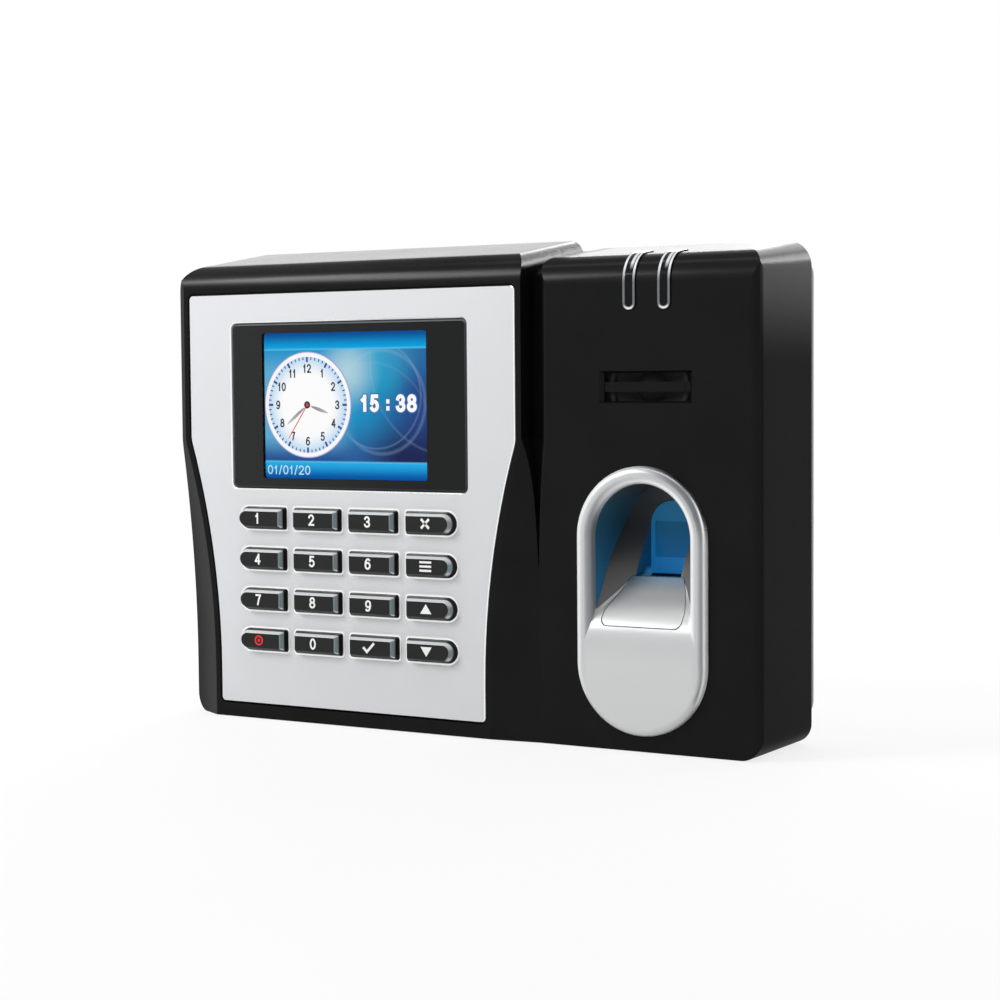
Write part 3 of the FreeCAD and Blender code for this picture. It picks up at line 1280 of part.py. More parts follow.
def back_cover():
    x0 = left_x + cover_side_inset
    x1 = right_x - cover_side_inset
    z0 = cover_bottom_inset
    z1 = case_top - cover_top_inset
    r = cover_corner
    raised = rounded_block(x0, x1, z0, z1, shell_depth, cover_back, (r, r, r, r))
    raised = raised.makeFillet(0.8, edges_at_depth(raised, cover_back))
    lip = housing_cavity(wall + fit_gap).common(block(left_x, right_x, shell_depth - cover_lip, shell_depth, 0,
                                                      case_top))
    inner = rounded_block(x0 + wall, x1 - wall, z0 + wall, z1 - wall, shell_depth - cover_lip - 1, cover_back - wall,
                          (r - wall, r - wall, r - wall, r - wall))
    cover = raised.fuse(lip).cut(inner)
    cover = cover.fuse(recess_block(wall, recess_floor - wall, cover_back - 1.0))
    for x, z in case_bosses:
        cover = cover.fuse(rod(x, z, case_pad_radius, case_boss_back, cover_back - 1.0))
    for x, z in main_board_marks:
        cover = cover.fuse(rod(x, z, boss_radius, main_board_back, recess_floor - 1.0))
    cover = cover.cut(recess_block(0.0, recess_floor, cover_back + 1))
    for x in (-plate_width / 2 + 6.0, plate_width / 2 - 6.0):
        for z in (plate_bottom + 6.0, plate_top - 8.0):
            cover = cover.fuse(rod(x, z, 3.0, recess_floor - 1.0, cover_back - plate_thickness))
    high = plate_top
    ledge_front = cover_back - plate_thickness - 1.3
    for x in (-hook_spacing / 2, hook_spacing / 2):
        cover = cover.fuse(block(x - hook_width / 2 - 2.0, x + hook_width / 2 + 2.0, ledge_front, ledge_front + 1.2,
                                 high - hook_reach - 1.0, high + plate_gap + 1.0))
    cover = cover.cut(lock_tab(0.6, lift_off - 0.6, recess_floor - wall - 1, recess_floor + 1))
    for x, z in case_bosses:
        cover = cover.cut(rod(x, z, case_head_radius + 0.3, case_seat, cover_back + 1))
        cover = cover.cut(rod(x, z, case_screw_radius + hole_gap, case_boss_back - 1, cover_back + 1))
    for x, z in main_board_marks:
        cover = cover.cut(rod(x, z, screw_radius + thread_gap, main_board_back - 1, recess_floor - 0.6))
    return cover


def wall_plate():
    """Steel plate with two hooks near the top and a bent, tapped tab at the bottom."""
    y0 = cover_back - plate_thickness
    plate = slab(0, plate_centre_z, plate_width, plate_height, y0, cover_back, plate_corner)
    for x in (-wall_hole_spacing_x / 2, wall_hole_spacing_x / 2):
        for z in (-wall_hole_spacing_z / 2, wall_hole_spacing_z / 2):
            plate = plate.cut(rod(x, plate_centre_z + z, wall_hole_radius, y0 - 1, cover_back + 1))
    plate = plate.cut(slab(0, plate_centre_z + 4.0, 52.0, 34.0, y0 - 1, cover_back + 1, 4.0))
    leg_z = plate_top - hook_reach - 1.0 - plate_thickness
    front = y0 - 1.4 - plate_thickness
    for x in (-hook_spacing / 2, hook_spacing / 2):
        leg = block(x - hook_width / 2, x + hook_width / 2, front, y0, leg_z, leg_z + plate_thickness)
        tip = block(x - hook_width / 2, x + hook_width / 2, front, front + plate_thickness, leg_z,
                    leg_z + plate_thickness + hook_reach)
        plate = plate.fuse([leg, tip])
    plate = plate.fuse(lock_tab(0.0, 0.0, lock_y - 5.0, cover_back))
    return plate.cut(Part.makeCylinder(lock_radius + thread_gap, 20.0, V(lock_x, lock_y, lock_seat + 5.0)))


def lock_screw():
    head = Part.makeCylinder(lock_head_radius, lock_seat - 0.4, V(lock_x, lock_y, 0.4))
    socket = Part.makePolygon([V(lock_x + 1.3 * math.cos(math.radians(a)), lock_y + 1.3 * math.sin(math.radians(a)),
                                 0.3) for a in range(0, 361, 60)])
    head = head.cut(Part.Face(socket).extrude(V(0, 0, 1.3)))
    return head.fuse(Part.makeCylinder(lock_radius, lock_length, V(lock_x, lock_y, lock_seat)))


os.makedirs("parts", exist_ok=True)

save("front_housing", front_housing())
save("control_panel", control_panel())
save("display_lens", display_lens())
save("lcd_frame", lcd_frame())
save("lcd_glass", lcd_glass())
save("lcd_backlight", lcd_backlight())
save("lcd_holder", lcd_holder())
save("lcd_ribbon", lcd_ribbon())
names = [["1", "2", "3", "cancel"], ["4", "5", "6", "menu"], ["7", "8", "9", "up"], ["power", "0", "confirm", "down"]]
for row, z in enumerate(key_centres_z):
    for column, x in enumerate(key_centres_x):
        save("key_" + names[row][column], key_cap(column, x, z))
save("keypad_mat", keypad_mat())
save("front_board", front_board())
save("light_guide_left", light_guide(guide_centres[0]))
save("light_guide_right", light_guide(guide_centres[1]))
save("indicator_leds", indicator_leds())
save("indicator_board", indicator_board())
save("speaker_gasket", speaker_gasket())
save("speaker_basket", speaker_basket())
save("speaker_cone", speaker_cone())
save("scanner_bezel", scanner_bezel())
save("finger_guide", finger_guide())
save("ramp_pad", ramp_pad())
save("sensor_frame", sensor_frame())
save("sensor_glass", sensor_glass())
save("sensor_prism", sensor_prism())
save("sensor_body", sensor_body())
save("sensor_camera", sensor_camera())
save("sensor_board", sensor_board())
save("sensor_ribbon", sensor_ribbon())
save("main_board", main_board())
save("network_socket", network_socket())
save("usb_socket", usb_socket())
save("power_socket", power_socket())
save("coin_cell_holder", coin_cell_holder())
save("coin_cell", coin_cell())
save("processor_shield", processor_shield())
save("board_chips", board_chips())
save("display_ribbon", display_ribbon())
save("back_cover", back_cover())
save("wall_plate", wall_plate())
save("lock_screw", lock_screw())
save("case_screws", case_screws())
save("board_screws", board_screws())
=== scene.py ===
import math

import bmesh
import bpy
import numpy as np
from mathutils import Matrix, Vector


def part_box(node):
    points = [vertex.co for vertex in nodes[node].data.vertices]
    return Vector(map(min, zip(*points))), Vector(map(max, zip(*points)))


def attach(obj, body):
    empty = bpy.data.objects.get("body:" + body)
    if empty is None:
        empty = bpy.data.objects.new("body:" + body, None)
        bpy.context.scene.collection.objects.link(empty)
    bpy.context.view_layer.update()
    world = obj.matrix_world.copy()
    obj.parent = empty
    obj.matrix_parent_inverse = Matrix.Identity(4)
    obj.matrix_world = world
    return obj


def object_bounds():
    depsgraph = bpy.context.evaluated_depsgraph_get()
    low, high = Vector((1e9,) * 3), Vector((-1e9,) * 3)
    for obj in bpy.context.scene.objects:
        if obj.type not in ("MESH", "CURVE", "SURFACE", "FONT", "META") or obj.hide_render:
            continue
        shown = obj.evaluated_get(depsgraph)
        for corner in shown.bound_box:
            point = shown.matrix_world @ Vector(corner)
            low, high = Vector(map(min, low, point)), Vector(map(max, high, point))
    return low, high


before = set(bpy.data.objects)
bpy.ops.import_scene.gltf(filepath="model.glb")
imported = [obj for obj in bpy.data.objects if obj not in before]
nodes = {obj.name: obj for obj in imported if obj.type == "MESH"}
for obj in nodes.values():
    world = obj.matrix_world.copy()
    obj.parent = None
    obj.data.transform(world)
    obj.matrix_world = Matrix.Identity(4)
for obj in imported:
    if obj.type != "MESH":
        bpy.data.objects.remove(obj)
cadBox = [list(corner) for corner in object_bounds()]
mm = 0.001
print("frame loaded:", len(nodes), "nodes")


# a socket that takes part in sums; each sum adds its Math node
class Wire:
    def __init__(self, finish, socket):
        self.finish = finish
        self.socket = socket

    def sum(self, operation, *terms):
        return self.finish.add("Math", {"operation": operation}, dict(enumerate(terms)))

    def __add__(self, other):
        return self.sum("ADD", self, other)

    def __sub__(self, other):
        return self.sum("SUBTRACT", self, other)

    def __rsub__(self, other):
        return self.sum("SUBTRACT", other, self)

    def __mul__(self, other):
        return self.sum("MULTIPLY", self, other)

    def __abs__(self):
        return self.sum("ABSOLUTE", self)

    def atLeast(self, other):
        return self.sum("MAXIMUM", self, other)

    def atMost(self, other):
        return self.sum("MINIMUM", self, other)

    def root(self):
        return self.sum("SQRT", self)

    # 0 at low and before it, 1 at high and beyond, smooth in between; low may be the larger one
    def ease(self, low, high):
        return self.finish.add("MapRange", {"interpolation_type": "SMOOTHSTEP"},
                               {"Value": self, "From Min": low, "From Max": high})


def distance(across, rise):
    return (across * across + rise * rise).root()


# one material and the nodes behind it
class Finish:
    def __init__(self, name, **fixed):
        self.material = bpy.data.materials.new(name)
        self.material.use_nodes = True
        self.tree = self.material.node_tree
        self.shader = self.tree.nodes["Principled BSDF"]
        self.end = self.tree.nodes["Material Output"]
        self.place = None
        for socket, value in fixed.items():
            self.set(socket.replace("_", " "), value)

    # any node: its type, its settings, the values or links of its sockets, and the output wanted
    def add(self, kind, settings=None, values=None, out=0):
        node = self.tree.nodes.new("ShaderNode" + kind)
        for key, value in (settings or {}).items():
            setattr(node, key, value)
        for key, value in (values or {}).items():
            self.feed(node.inputs[key], value)
        return Wire(self, node.outputs[out])

    def feed(self, socket, value):
        if isinstance(value, Wire):
            self.tree.links.new(value.socket, socket)
        elif isinstance(value, tuple) and len(value) == 3 and len(socket.default_value) == 4:
            socket.default_value = (*value, 1.0)
        else:
            socket.default_value = value

    def set(self, socket, value):
        self.feed(self.shader.inputs[socket], value)

    # object coordinates in millimetres, counted from a point of the frame
    def at(self, x=0.0, y=0.0, z=0.0):
        if self.place is None:
            self.place = self.add("TexCoord", out="Object")
        inMm = self.add("VectorMath", {"operation": "SCALE"}, {0: self.place, "Scale": 1.0 / mm})
        return self.add("VectorMath", {"operation": "SUBTRACT"}, {0: inMm, 1: (x, y, z)})

    def split(self, vector):
        node = self.add("SeparateXYZ", values={0: vector}).socket.node
        return [Wire(self, node.outputs[i]) for i in range(3)]

    # the same in three parts, right and up counted from the middle of a piece
    def around(self, middle=(0.0, 0.0)):
        return self.split(self.at(middle[0], 0.0, middle[1]))

    # the surface's own direction: right, back and up parts
    def facing(self):
        return self.split(self.add("NewGeometry", out="Normal"))

    def noise(self, size, detail=2.0, rough=0.5, vector=None):
        return self.add("TexNoise", {"noise_dimensions": "3D"},
                        {"Vector": vector or self.at(), "Scale": 1.0 / size, "Detail": detail,
                         "Roughness": rough})

    def mix(self, amount, first, second):
        return self.add("Mix", {"data_type": "RGBA"}, {"Factor": amount, 6: first, 7: second}, 2)

    def bump(self, height, depth, strength=0.4):
        self.set("Normal", self.add("Bump", values={"Height": height, "Distance": depth * mm,
                                                    "Strength": strength}))

    # grains of metal in a lacquer: their noise, which also gives the surface its fine relief
    def flake(self, depth=0.006, size=0.16):
        fine = self.noise(size, 2.0, 0.6)
        self.bump(fine, depth)
        return fine


# "#rrggbb" as it looks on a screen, to the linear values that a shader takes
def shade(code, dim=1.0):
    parts = [int(code[i:i + 2], 16) / 255 for i in (1, 3, 5)]
    return tuple(dim * (c / 12.92 if c <= 0.04045 else ((c + 0.055) / 1.055) ** 2.4) for c in parts)


def dress(finish, *names):
    for name in names:
        for slot in nodes[name].material_slots:
            slot.material = finish.material


# middle of a carried piece, left to right and low to high, in millimetres
def middle(name):
    low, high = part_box(name)
    return (low.x + high.x) * 500.0, (low.z + high.z) * 500.0


# where a carried piece's front, back and top lie, in millimetres
def frontOf(name):
    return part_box(name)[0].y / mm


def backOf(name):
    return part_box(name)[1].y / mm


def topOf(name):
    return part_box(name)[1].z / mm


camera = {"place": (0.327338, -0.535978, 0.101449), "azimuth": 30.8796, "elevation": 3.1985,
          "roll": -0.4546, "lens": 77.744, "sensor": 36.0, "nearest": 0.01}

lamps = {
    # name: (place, aim, width, height, lean in degrees, watts)
    "front": ((-0.405, -0.46, 0.485), (-0.015, 0.0, 0.13), 0.31, 0.16, -33.0, 3.6),
    "overhead": ((-0.05, -0.22, 0.95), (0.0, 0.0, 0.10), 0.9, 0.10, 0.0, 1.2),
    "back": ((-0.46, 0.80, 0.42), (0.0, 0.0, 0.13), 0.72, 0.40, 0.0, 5.0),
    "behind": ((0.0, 0.85, 0.50), (0.03, 0.0, 0.13), 0.60, 0.34, 0.0, 4.0),
    "side": ((0.53, 0.76, 0.50), (0.096, 0.0, 0.13), 0.4, 0.26, 0.0, 1.6),
}

# white surroundings, at full strength where they are seen and softer as light, over a pale floor
# that keeps the shadow near the terminal and goes white further off
studio = {"light": 0.40, "floor": 8.0, "drop": 0.0002, "paper": 0.86, "near": 0.8,
          "fade": (250.0, 900.0)}


def spin(degrees, axis):
    return Matrix.Rotation(math.radians(degrees), 4, axis)


def placeCamera():
    view = bpy.data.cameras.new("Camera")
    view.lens = camera["lens"]
    view.sensor_width = camera["sensor"]
    view.clip_start = camera["nearest"]
    eye = bpy.data.objects.new("Camera", view)
    turn = spin(camera["azimuth"], "Z") @ spin(90 - camera["elevation"], "X")
    turn = turn @ spin(camera["roll"], "Z")
    eye.matrix_world = Matrix.Translation(camera["place"]) @ turn
    bpy.context.scene.collection.objects.link(eye)
    bpy.context.scene.camera = eye
    bpy.context.scene.view_settings.view_transform = "Standard"


def placeLamps():
    for name, (place, aim, width, height, lean, watts) in lamps.items():
        lamp = bpy.data.lights.new(name, "AREA")
        lamp.shape = "RECTANGLE"
        lamp.size = width
        lamp.size_y = height
        lamp.energy = watts
        holder = bpy.data.objects.new(name, lamp)
        away = Vector(place) - Vector(aim)
        turn = away.to_track_quat("Z", "Y").to_matrix().to_4x4() @ spin(lean, "Z")
        holder.matrix_world = Matrix.Translation(place) @ turn
        bpy.context.scene.collection.objects.link(holder)


# 1 for a ray that leaves the camera, a reflection or a clear piece, 0 for the others
def seenRays(tree):
    path = tree.nodes.new("ShaderNodeLightPath")
    found = path.outputs["Is Camera Ray"]
    for kind in ("Is Glossy Ray", "Is Transmission Ray"):
        either = tree.nodes.new("ShaderNodeMath")
        either.operation = "MAXIMUM"
        tree.links.new(found, either.inputs[0])
        tree.links.new(path.outputs[kind], either.inputs[1])
        found = either.outputs[0]
    return found


def buildWorld():
    world = bpy.data.worlds.new("studio")
    bpy.context.scene.world = world
    world.use_nodes = True
    tree = world.node_tree
    strength = tree.nodes.new("ShaderNodeMapRange")
    tree.links.new(seenRays(tree), strength.inputs["Value"])
    strength.inputs["To Min"].default_value = studio["light"]
    strength.inputs["To Max"].default_value = 1.0
    back = tree.nodes["Background"]
    back.inputs["Color"].default_value = (1.0, 1.0, 1.0, 1.0)
    tree.links.new(strength.outputs[0], back.inputs["Strength"])


def buildFloor():
    mesh = bpy.data.meshes.new("floor")
    half = studio["floor"] / 2
    low = cadBox[0][2] - studio["drop"]
    corners = [(-half, -half, low), (half, -half, low), (half, half, low), (-half, half, low)]
    mesh.from_pydata(corners, [], [(0, 1, 2, 3)])
    floor = bpy.data.objects.new("floor", mesh)
    bpy.context.scene.collection.objects.link(floor)
    paper = Finish("paper", Base_Color=(studio["paper"],) * 3, Roughness=0.9, Specular_IOR_Level=0.0)
    x, y, z = paper.around()
    away = distance(x, y).ease(*studio["fade"])
    white = Wire(paper, seenRays(paper.tree)) * (away * (1.0 - studio["near"]) + studio["near"])
    glow = paper.add("Emission", values={"Color": (1.0, 1.0, 1.0), "Strength": 1.0})
    both = paper.add("MixShader", values={0: white, 1: Wire(paper, paper.shader.outputs[0]), 2: glow})
    paper.feed(paper.end.inputs["Surface"], both)
    mesh.materials.append(paper.material)


placeCamera()
placeLamps()
buildWorld()
buildFloor()
print("camera, lamps and floor are in place")


# moulded black: a thin satin skin over near-black plastic, a little cloudy, with a fine even grain. The
# amounts of skin are a painted sheen, set by place and facing: some all over, and more of it on the
# tops, on the shoulders at their right, along their front edges (brow) and along the front edge of the
# left flank.
# A pair is for the display block and for the scanner block; the right side has its own, for its foot
# and its rise
moulding = {"colour": "#0e0f0e", "skin": 0.19, "top": (0.05, 0.14), "shoulder": (0.80, 0.22),
            "brow": (0.10, 0.45), "flank": 0.16, "side": (0.11, 0.68), "turn": (0.35, 0.3),
            # where these start and stop, in millimetres: right, back or up
            "seam": (34.0, 38.0), "browFade": (0.0, -60.0), "rightEnd": (60.0, 70.0),
            "sideRise": (104.0, 139.0), "flankFront": (-11.0, -18.0),
            "cloud": 18.0, "cloudShare": 0.05, "grain": 0.22}


def blackMoulding():
    f = Finish("black moulding", Coat_Roughness=0.25, Specular_IOR_Level=0.0)
    x, y, z = f.around()
    right, back, up = f.facing()
    cloud = f.noise(moulding["cloud"], 3.0)
    colour = moulding["colour"]
    f.set("Base Color", f.mix(cloud, shade(colour, 0.8), shade(colour, 1.3)))
    f.set("Roughness", cloud * 0.1 + 0.45)
    scanner = x.ease(*moulding["seam"])  # 0 on the display block, 1 on the scanner block
    rightEnd = x.ease(*moulding["rightEnd"])

    def by(name):
        display, other = moulding[name]
        return scanner * (other - display) + display

    share = moulding["cloudShare"]
    coat = cloud * share + (moulding["skin"] - share / 2) + up.ease(0.9, 0.97) * by("top")
    coat = coat + right.ease(0.08, 0.35) * up.ease(0.0, 0.35) * by("shoulder")
    forward = back.ease(-0.2, -0.3)
    brow = up.ease(0.2, 0.4) * up.ease(0.985, 0.96) * forward * x.ease(*moulding["browFade"])
    lip = up.ease(0.78, 0.95) * forward * scanner
    coat = coat + brow * moulding["brow"][0] + lip * moulding["brow"][1]
    # the rounded turn from the front to the right side is dull, and more so the more it faces right:
    # painted sheen taken away there
    first, more = moulding["turn"]
    turn = right.ease(0.12, 0.35) * up.ease(0.02, 0.10) * rightEnd
    coat = coat * (1.0 - turn * (right.ease(0.6, 0.95) * more + first))
    # the right side's skin grows towards its top, a painted sheen that lightens its upper part
    low, high = moulding["side"]
    flat = right.ease(0.80, 0.98) * rightEnd
    coat = coat * (1.0 - flat) + (z.ease(*moulding["sideRise"]) * high + low) * flat
    flank = right.ease(-0.2, -0.4) * y.ease(*moulding["flankFront"]) * back.ease(0.0, -0.3)
    f.set("Coat Weight", coat + flank * moulding["flank"])
    f.bump(f.noise(moulding["grain"], 3.0, 0.6), 0.004, 0.5)
    return f


dress(blackMoulding(), "front_housing")


# silver lacquer: fine flake and a faint cloudiness; where asked, a painted highlight on its bevels:
# white, more metallic and glossier
def silverLacquer(name, colour, rough=0.34, metal=0.35, depth=0.006, bevel=False):
    f = Finish(name)
    fine = f.flake(depth)
    soft = f.noise(26.0)
    ground = f.mix(fine * 0.5 + soft * 0.5, shade(colour, 0.93), shade(colour))
    if bevel:
        right, back, up = f.facing()
        # painted highlight: bevels that face partly forward are white, more metallic and glossier
        edge = back.ease(-0.95, -0.84) * back.ease(-0.3, -0.55)
        ground = f.mix(edge, ground, (1.0, 1.0, 1.0))
        metal = edge * (1.0 - metal) + metal
        rough = edge * (0.12 - rough) + rough
    f.set("Base Color", ground)
    f.set("Metallic", metal)
    f.set("Roughness", fine * 0.08 + rough)
    return f


dress(silverLacquer("panel lacquer", "#d2d4d6", rough=0.42, metal=0.12, bevel=True), "control_panel")


# plain moulded plastic with a slight unevenness and a fine texture
def plainPlastic(name, colour, rough=0.45, level=0.5, grain=0.01, size=0.3):
    f = Finish(name, Specular_IOR_Level=level)
    spread = f.noise(9.0)
    f.set("Base Color", f.mix(spread, shade(colour, 0.88), shade(colour)))
    f.set("Roughness", spread * 0.08 + (rough - 0.04))
    f.bump(f.noise(size), grain)
    return f


# sheet steel with drawn lines along its length
def bareSteel(name, colour="#b9bbbd", rough=0.32, squeeze=(0.15, 3.0, 6.0)):
    f = Finish(name, Metallic=1.0)
    across = f.add("VectorMath", {"operation": "MULTIPLY"}, {0: f.at(), 1: squeeze})
    line = f.noise(1.0, 3.0, 0.6, across)
    f.set("Base Color", f.mix(line, shade(colour, 0.8), shade(colour)))
    f.set("Roughness", line * 0.15 + (rough - 0.07))
    f.bump(line, 0.006, 0.3)
    return f


# key caps: dark face, with painted highlights on the satin chamfer above and on the right of it, and
# painted shade, black, where the chamfer goes back into the gap. The right chamfer's painted highlight
# is palest at its ends, above and below the middle of each row
keyCaps = {"face": "#1f201f", "top": "#c9cdcf", "right": "#8a979d", "end": "#e6eaea", "foot": "#0c0c0c",
           "ends": (0.9, 2.6), "band": (0.95, 1.45)}
keyNames = [name for name in nodes if name.startswith("key_")]
keyFront = frontOf("key_1")


def keyRubber():
    f = Finish("key cap", Specular_IOR_Level=0.15)
    right, back, up = f.facing()
    x, y, z = f.around()
    soft = f.noise(6.0)
    face = f.mix(soft, shade(keyCaps["face"], 0.85), shade(keyCaps["face"], 1.15))
    rows = [middle(name)[1] for name in ("key_1", "key_4", "key_7", "key_0")]
    fall = abs(z - rows[0])
    for row in rows[1:]:
        fall = fall.atMost(abs(z - row))
    # painted highlight: palest towards the ends of the right chamfer, where it faces down a little
    end = fall.ease(*keyCaps["ends"]) * up.ease(0.0, -0.2)
    flank = f.mix(end, shade(keyCaps["right"]), shade(keyCaps["end"]))
    slope = f.mix(right.ease(0.1, 0.6), face, flank)
    slope = f.mix(up.ease(0.1, 0.6), slope, shade(keyCaps["top"]))
    start, stop = keyCaps["band"]
    # painted gap shadow: black from this depth back
    foot = y.ease(keyFront + start, keyFront + stop)
    f.set("Base Color", f.mix(foot, slope, shade(keyCaps["foot"])))
    f.set("Roughness", soft * 0.1 + 0.35)
    f.bump(f.noise(0.25), 0.005)
    return f


dress(keyRubber(), *keyNames)

# ramp colours run from the back edge to the crest: painted shade, darker towards the back, and the
# sensor's blue light painted on at the back edge
ramp = {"upper": "#a9acad", "lower": "#bebfbf", "from": backOf("ramp_pad") - 4.0,
        "to": frontOf("ramp_pad") + 1.0,
        "blue": "#2b5570", "blueBack": (backOf("ramp_pad") - 5.0, backOf("ramp_pad") - 0.5)}


def rampColour(f, y):
    ground = f.mix(y.ease(ramp["from"], ramp["to"]), shade(ramp["upper"]), shade(ramp["lower"]))
    return f.mix(y.ease(*ramp["blueBack"]), ground, shade(ramp["blue"]))


# bezel: satin silver with painted light: painted brightest where it faces left and where it faces down,
# painted dull where it faces right, with a painted highlight on its right edge. Round its upper right
# corner a painted dark reflection runs as a band along the crown, between painted pale inner and outer
# edges. The lobe below the step is pale and even
bezel = {"half": 19.6, "left": "#ffffff", "right": "#94979a", "edge": "#ffffff", "band": "#66696c",
         "lobe": "#cfd1d0", "inside": (2.6, 4.2),  # from the outer edge in to where the ring ends
         "step": 27.0, "stepFade": 4.0, "rimFade": 14.0, "rampRise": (50.0, 45.0),
         # right of the middle and above the arch's centre
         "edgeRight": (4.0, 9.0), "cornerRight": (-3.0, 12.0), "cornerRise": (-3.0, 7.0)}


def bezelLacquer():
    f = Finish("bezel lacquer")
    right, back, up = f.facing()
    x, y, z = f.around((middle("scanner_bezel")[0], 0.0))
    rise = z - (topOf("scanner_bezel") - bezel["half"])
    bright, dull = shade(bezel["left"]), shade(bezel["right"])
    fine = f.flake()
    # painted light: white where it faces left, grey where it faces right, and a white painted highlight
    # on the right edge
    ring = f.mix(right.ease(-0.80, 0.60), bright, dull)
    ring = f.mix(right.ease(0.55, 0.80) * x.ease(*bezel["edgeRight"]), ring, shade(bezel["edge"]))
    # how far the surface faces away from the middle of the arch
    outward = right * (x * (1.0 / bezel["half"])) + up * (rise * (1.0 / bezel["half"])).atLeast(0.0)
    corner = x.ease(*bezel["cornerRight"]) * rise.ease(*bezel["cornerRise"])
    # painted dark reflection along the crown, with painted pale edges beside it
    band = outward.ease(-0.15, 0.25) * outward.ease(0.75, 0.5) * corner
    rim = outward.ease(0.55, 0.8) * corner
    ring = f.mix(band * 0.85, ring, shade(bezel["band"]))
    ring = f.mix(outward.ease(-0.1, -0.5) * corner, ring, bright)
    ring = f.mix(up.ease(-0.2, -0.8), ring, bright)
    inner = abs(x).ease(*[bezel["half"] - inset for inset in bezel["inside"]])
    step, fade = bezel["step"], bezel["stepFade"]
    below = z.ease(step, step - bezel["rimFade"]) * back.ease(-0.85, -0.97)
    lobe = z.ease(step + fade, step - fade) * inner.atLeast(below)
    ground = f.mix(lobe, ring, shade(bezel["lobe"]))
    onRamp = up.ease(0.35, 0.7) * inner * z.ease(*bezel["rampRise"])
    ground = f.mix(onRamp, ground, rampColour(f, y))
    f.set("Base Color", f.mix(fine * 0.08, ground, dull))
    f.set("Metallic", rim * 0.75 + 0.25)
    f.set("Roughness", fine * 0.08 + 0.30 - rim * 0.10)
    return f


dress(bezelLacquer(), "scanner_bezel")


# the ramp's tile: silver lacquer that carries the ramp's painted shade and painted blue light
def tileLacquer():
    f = Finish("tile lacquer", Metallic=0.25)
    x, y, z = f.around()
    fine = f.flake()
    f.set("Base Color", f.mix(fine * 0.1, rampColour(f, y), shade(ramp["upper"])))
    f.set("Roughness", fine * 0.08 + 0.36)
    return f


dress(tileLacquer(), "ramp_pad")

# finger guide: smoked grey plastic, lighter towards the bottom; its walls are painted with the sensor's
# blue light, and a painted glow of that light spills on the floor of the guide behind the ramp
guide = {"high": "#45494d", "low": "#75716e", "rise": (60.0, 38.0),
         "wallHigh": "#2f5c73", "wallLow": "#2c7db0", "wallRise": (68.0, 40.0),
         "spill": "#26546f", "spillRise": (49.5, 47.5), "spillBack": (-3.0, 1.0)}


def guidePlastic():
    f = Finish("guide plastic", Specular_IOR_Level=0.25, Emission_Strength=1.0)
    x, y, z = f.around()
    right, back, up = f.facing()
    grey = f.mix(z.ease(*guide["rise"]), shade(guide["high"]), shade(guide["low"]))
    wall = f.mix(z.ease(*guide["wallRise"]), shade(guide["wallHigh"]), shade(guide["wallLow"]))
    soft = f.noise(5.0)
    spill = z.ease(*guide["spillRise"]) * y.ease(*guide["spillBack"])
    f.set("Base Color", f.mix(right.ease(0.45, 0.9), grey, wall))
    f.set("Emission Color", f.mix(spill, (0.0, 0.0, 0.0), shade(guide["spill"])))
    f.set("Roughness", soft * 0.1 + 0.3)
    f.bump(f.noise(0.3), 0.006)
    return f


dress(guidePlastic(), "finger_guide")


# light-spreading frame and the lit glass: each turns from an upper to a lower colour over the
# sensor's height
def blueGlow(name, upper, lower, glow=0.5):
    f = Finish(name, Roughness=0.18, Specular_IOR_Level=0.08, Emission_Strength=1.0)
    x, y, z = f.around(middle("sensor_glass"))
    soft = f.noise(4.0)
    ground = f.mix(z.ease(5.0, -7.0), shade(upper), shade(lower))
    f.set("Base Color", f.mix(soft * 0.3, ground, shade(upper, 0.6)))
    f.set("Emission Color", f.mix(z.ease(6.0, -8.0), shade(upper, glow), shade(lower, glow)))
    return f


dress(blueGlow("sensor surround", "#1c5f86", "#1a6fae"), "sensor_frame")
dress(blueGlow("sensor glass", "#124e70", "#125a90"), "sensor_glass", "sensor_prism")

dress(plainPlastic("cover plastic", "#8f908f", rough=0.5), "back_cover")
dress(plainPlastic("white plastic", "#e4e4e0", rough=0.5), "lcd_backlight", "network_socket")
dress(plainPlastic("dark plastic", "#1c1c1d", rough=0.5), "lcd_holder", "sensor_body", "power_socket",
      "coin_cell_holder", "speaker_basket", "sensor_camera")
dress(plainPlastic("chip epoxy", "#191a1b", rough=0.55, grain=0.02), "board_chips")
dress(plainPlastic("gasket foam", "#1a1a1a", rough=0.9, level=0.2, grain=0.12, size=0.5),
      "speaker_gasket")
dress(plainPlastic("cone paper", "#202020", rough=0.75, level=0.2, grain=0.05, size=0.4),
      "speaker_cone")
dress(plainPlastic("silicone mat", "#8f9294", rough=0.6), "keypad_mat")
dress(plainPlastic("board varnish", "#1e5a34", rough=0.35), "front_board", "indicator_board",
      "sensor_board", "main_board")
dress(plainPlastic("ribbon film", "#a86d2c", rough=0.35), "lcd_ribbon", "sensor_ribbon",
      "display_ribbon")
dress(bareSteel("drawn steel"), "lcd_frame", "usb_socket", "coin_cell", "processor_shield")
dress(bareSteel("zinc plate", "#aeb2b4", 0.4), "wall_plate")
dress(bareSteel("screw steel", "#9a9c9e", 0.3), "lock_screw", "case_screws", "board_screws")

# light guides: dark smoked core, a painted highlight round its outline that is brightest above and at
# the tip, and a painted highlight streak where the bar bends back; low is the height of the tip, and
# distances count from the bar's middle line
bars = {"core": "#0b0d0f", "outline": "#747a7c", "bright": "#eef0f1", "low": 119.8, "half": 2.0,
        "rimIn": (1.05, 1.35), "rimOut": (1.95, 1.7), "streakAt": 0.45, "streakReach": (0.62, 0.25),
        "streakRise": (130.5, 133.0), "brightRise": (127.0, 132.0)}


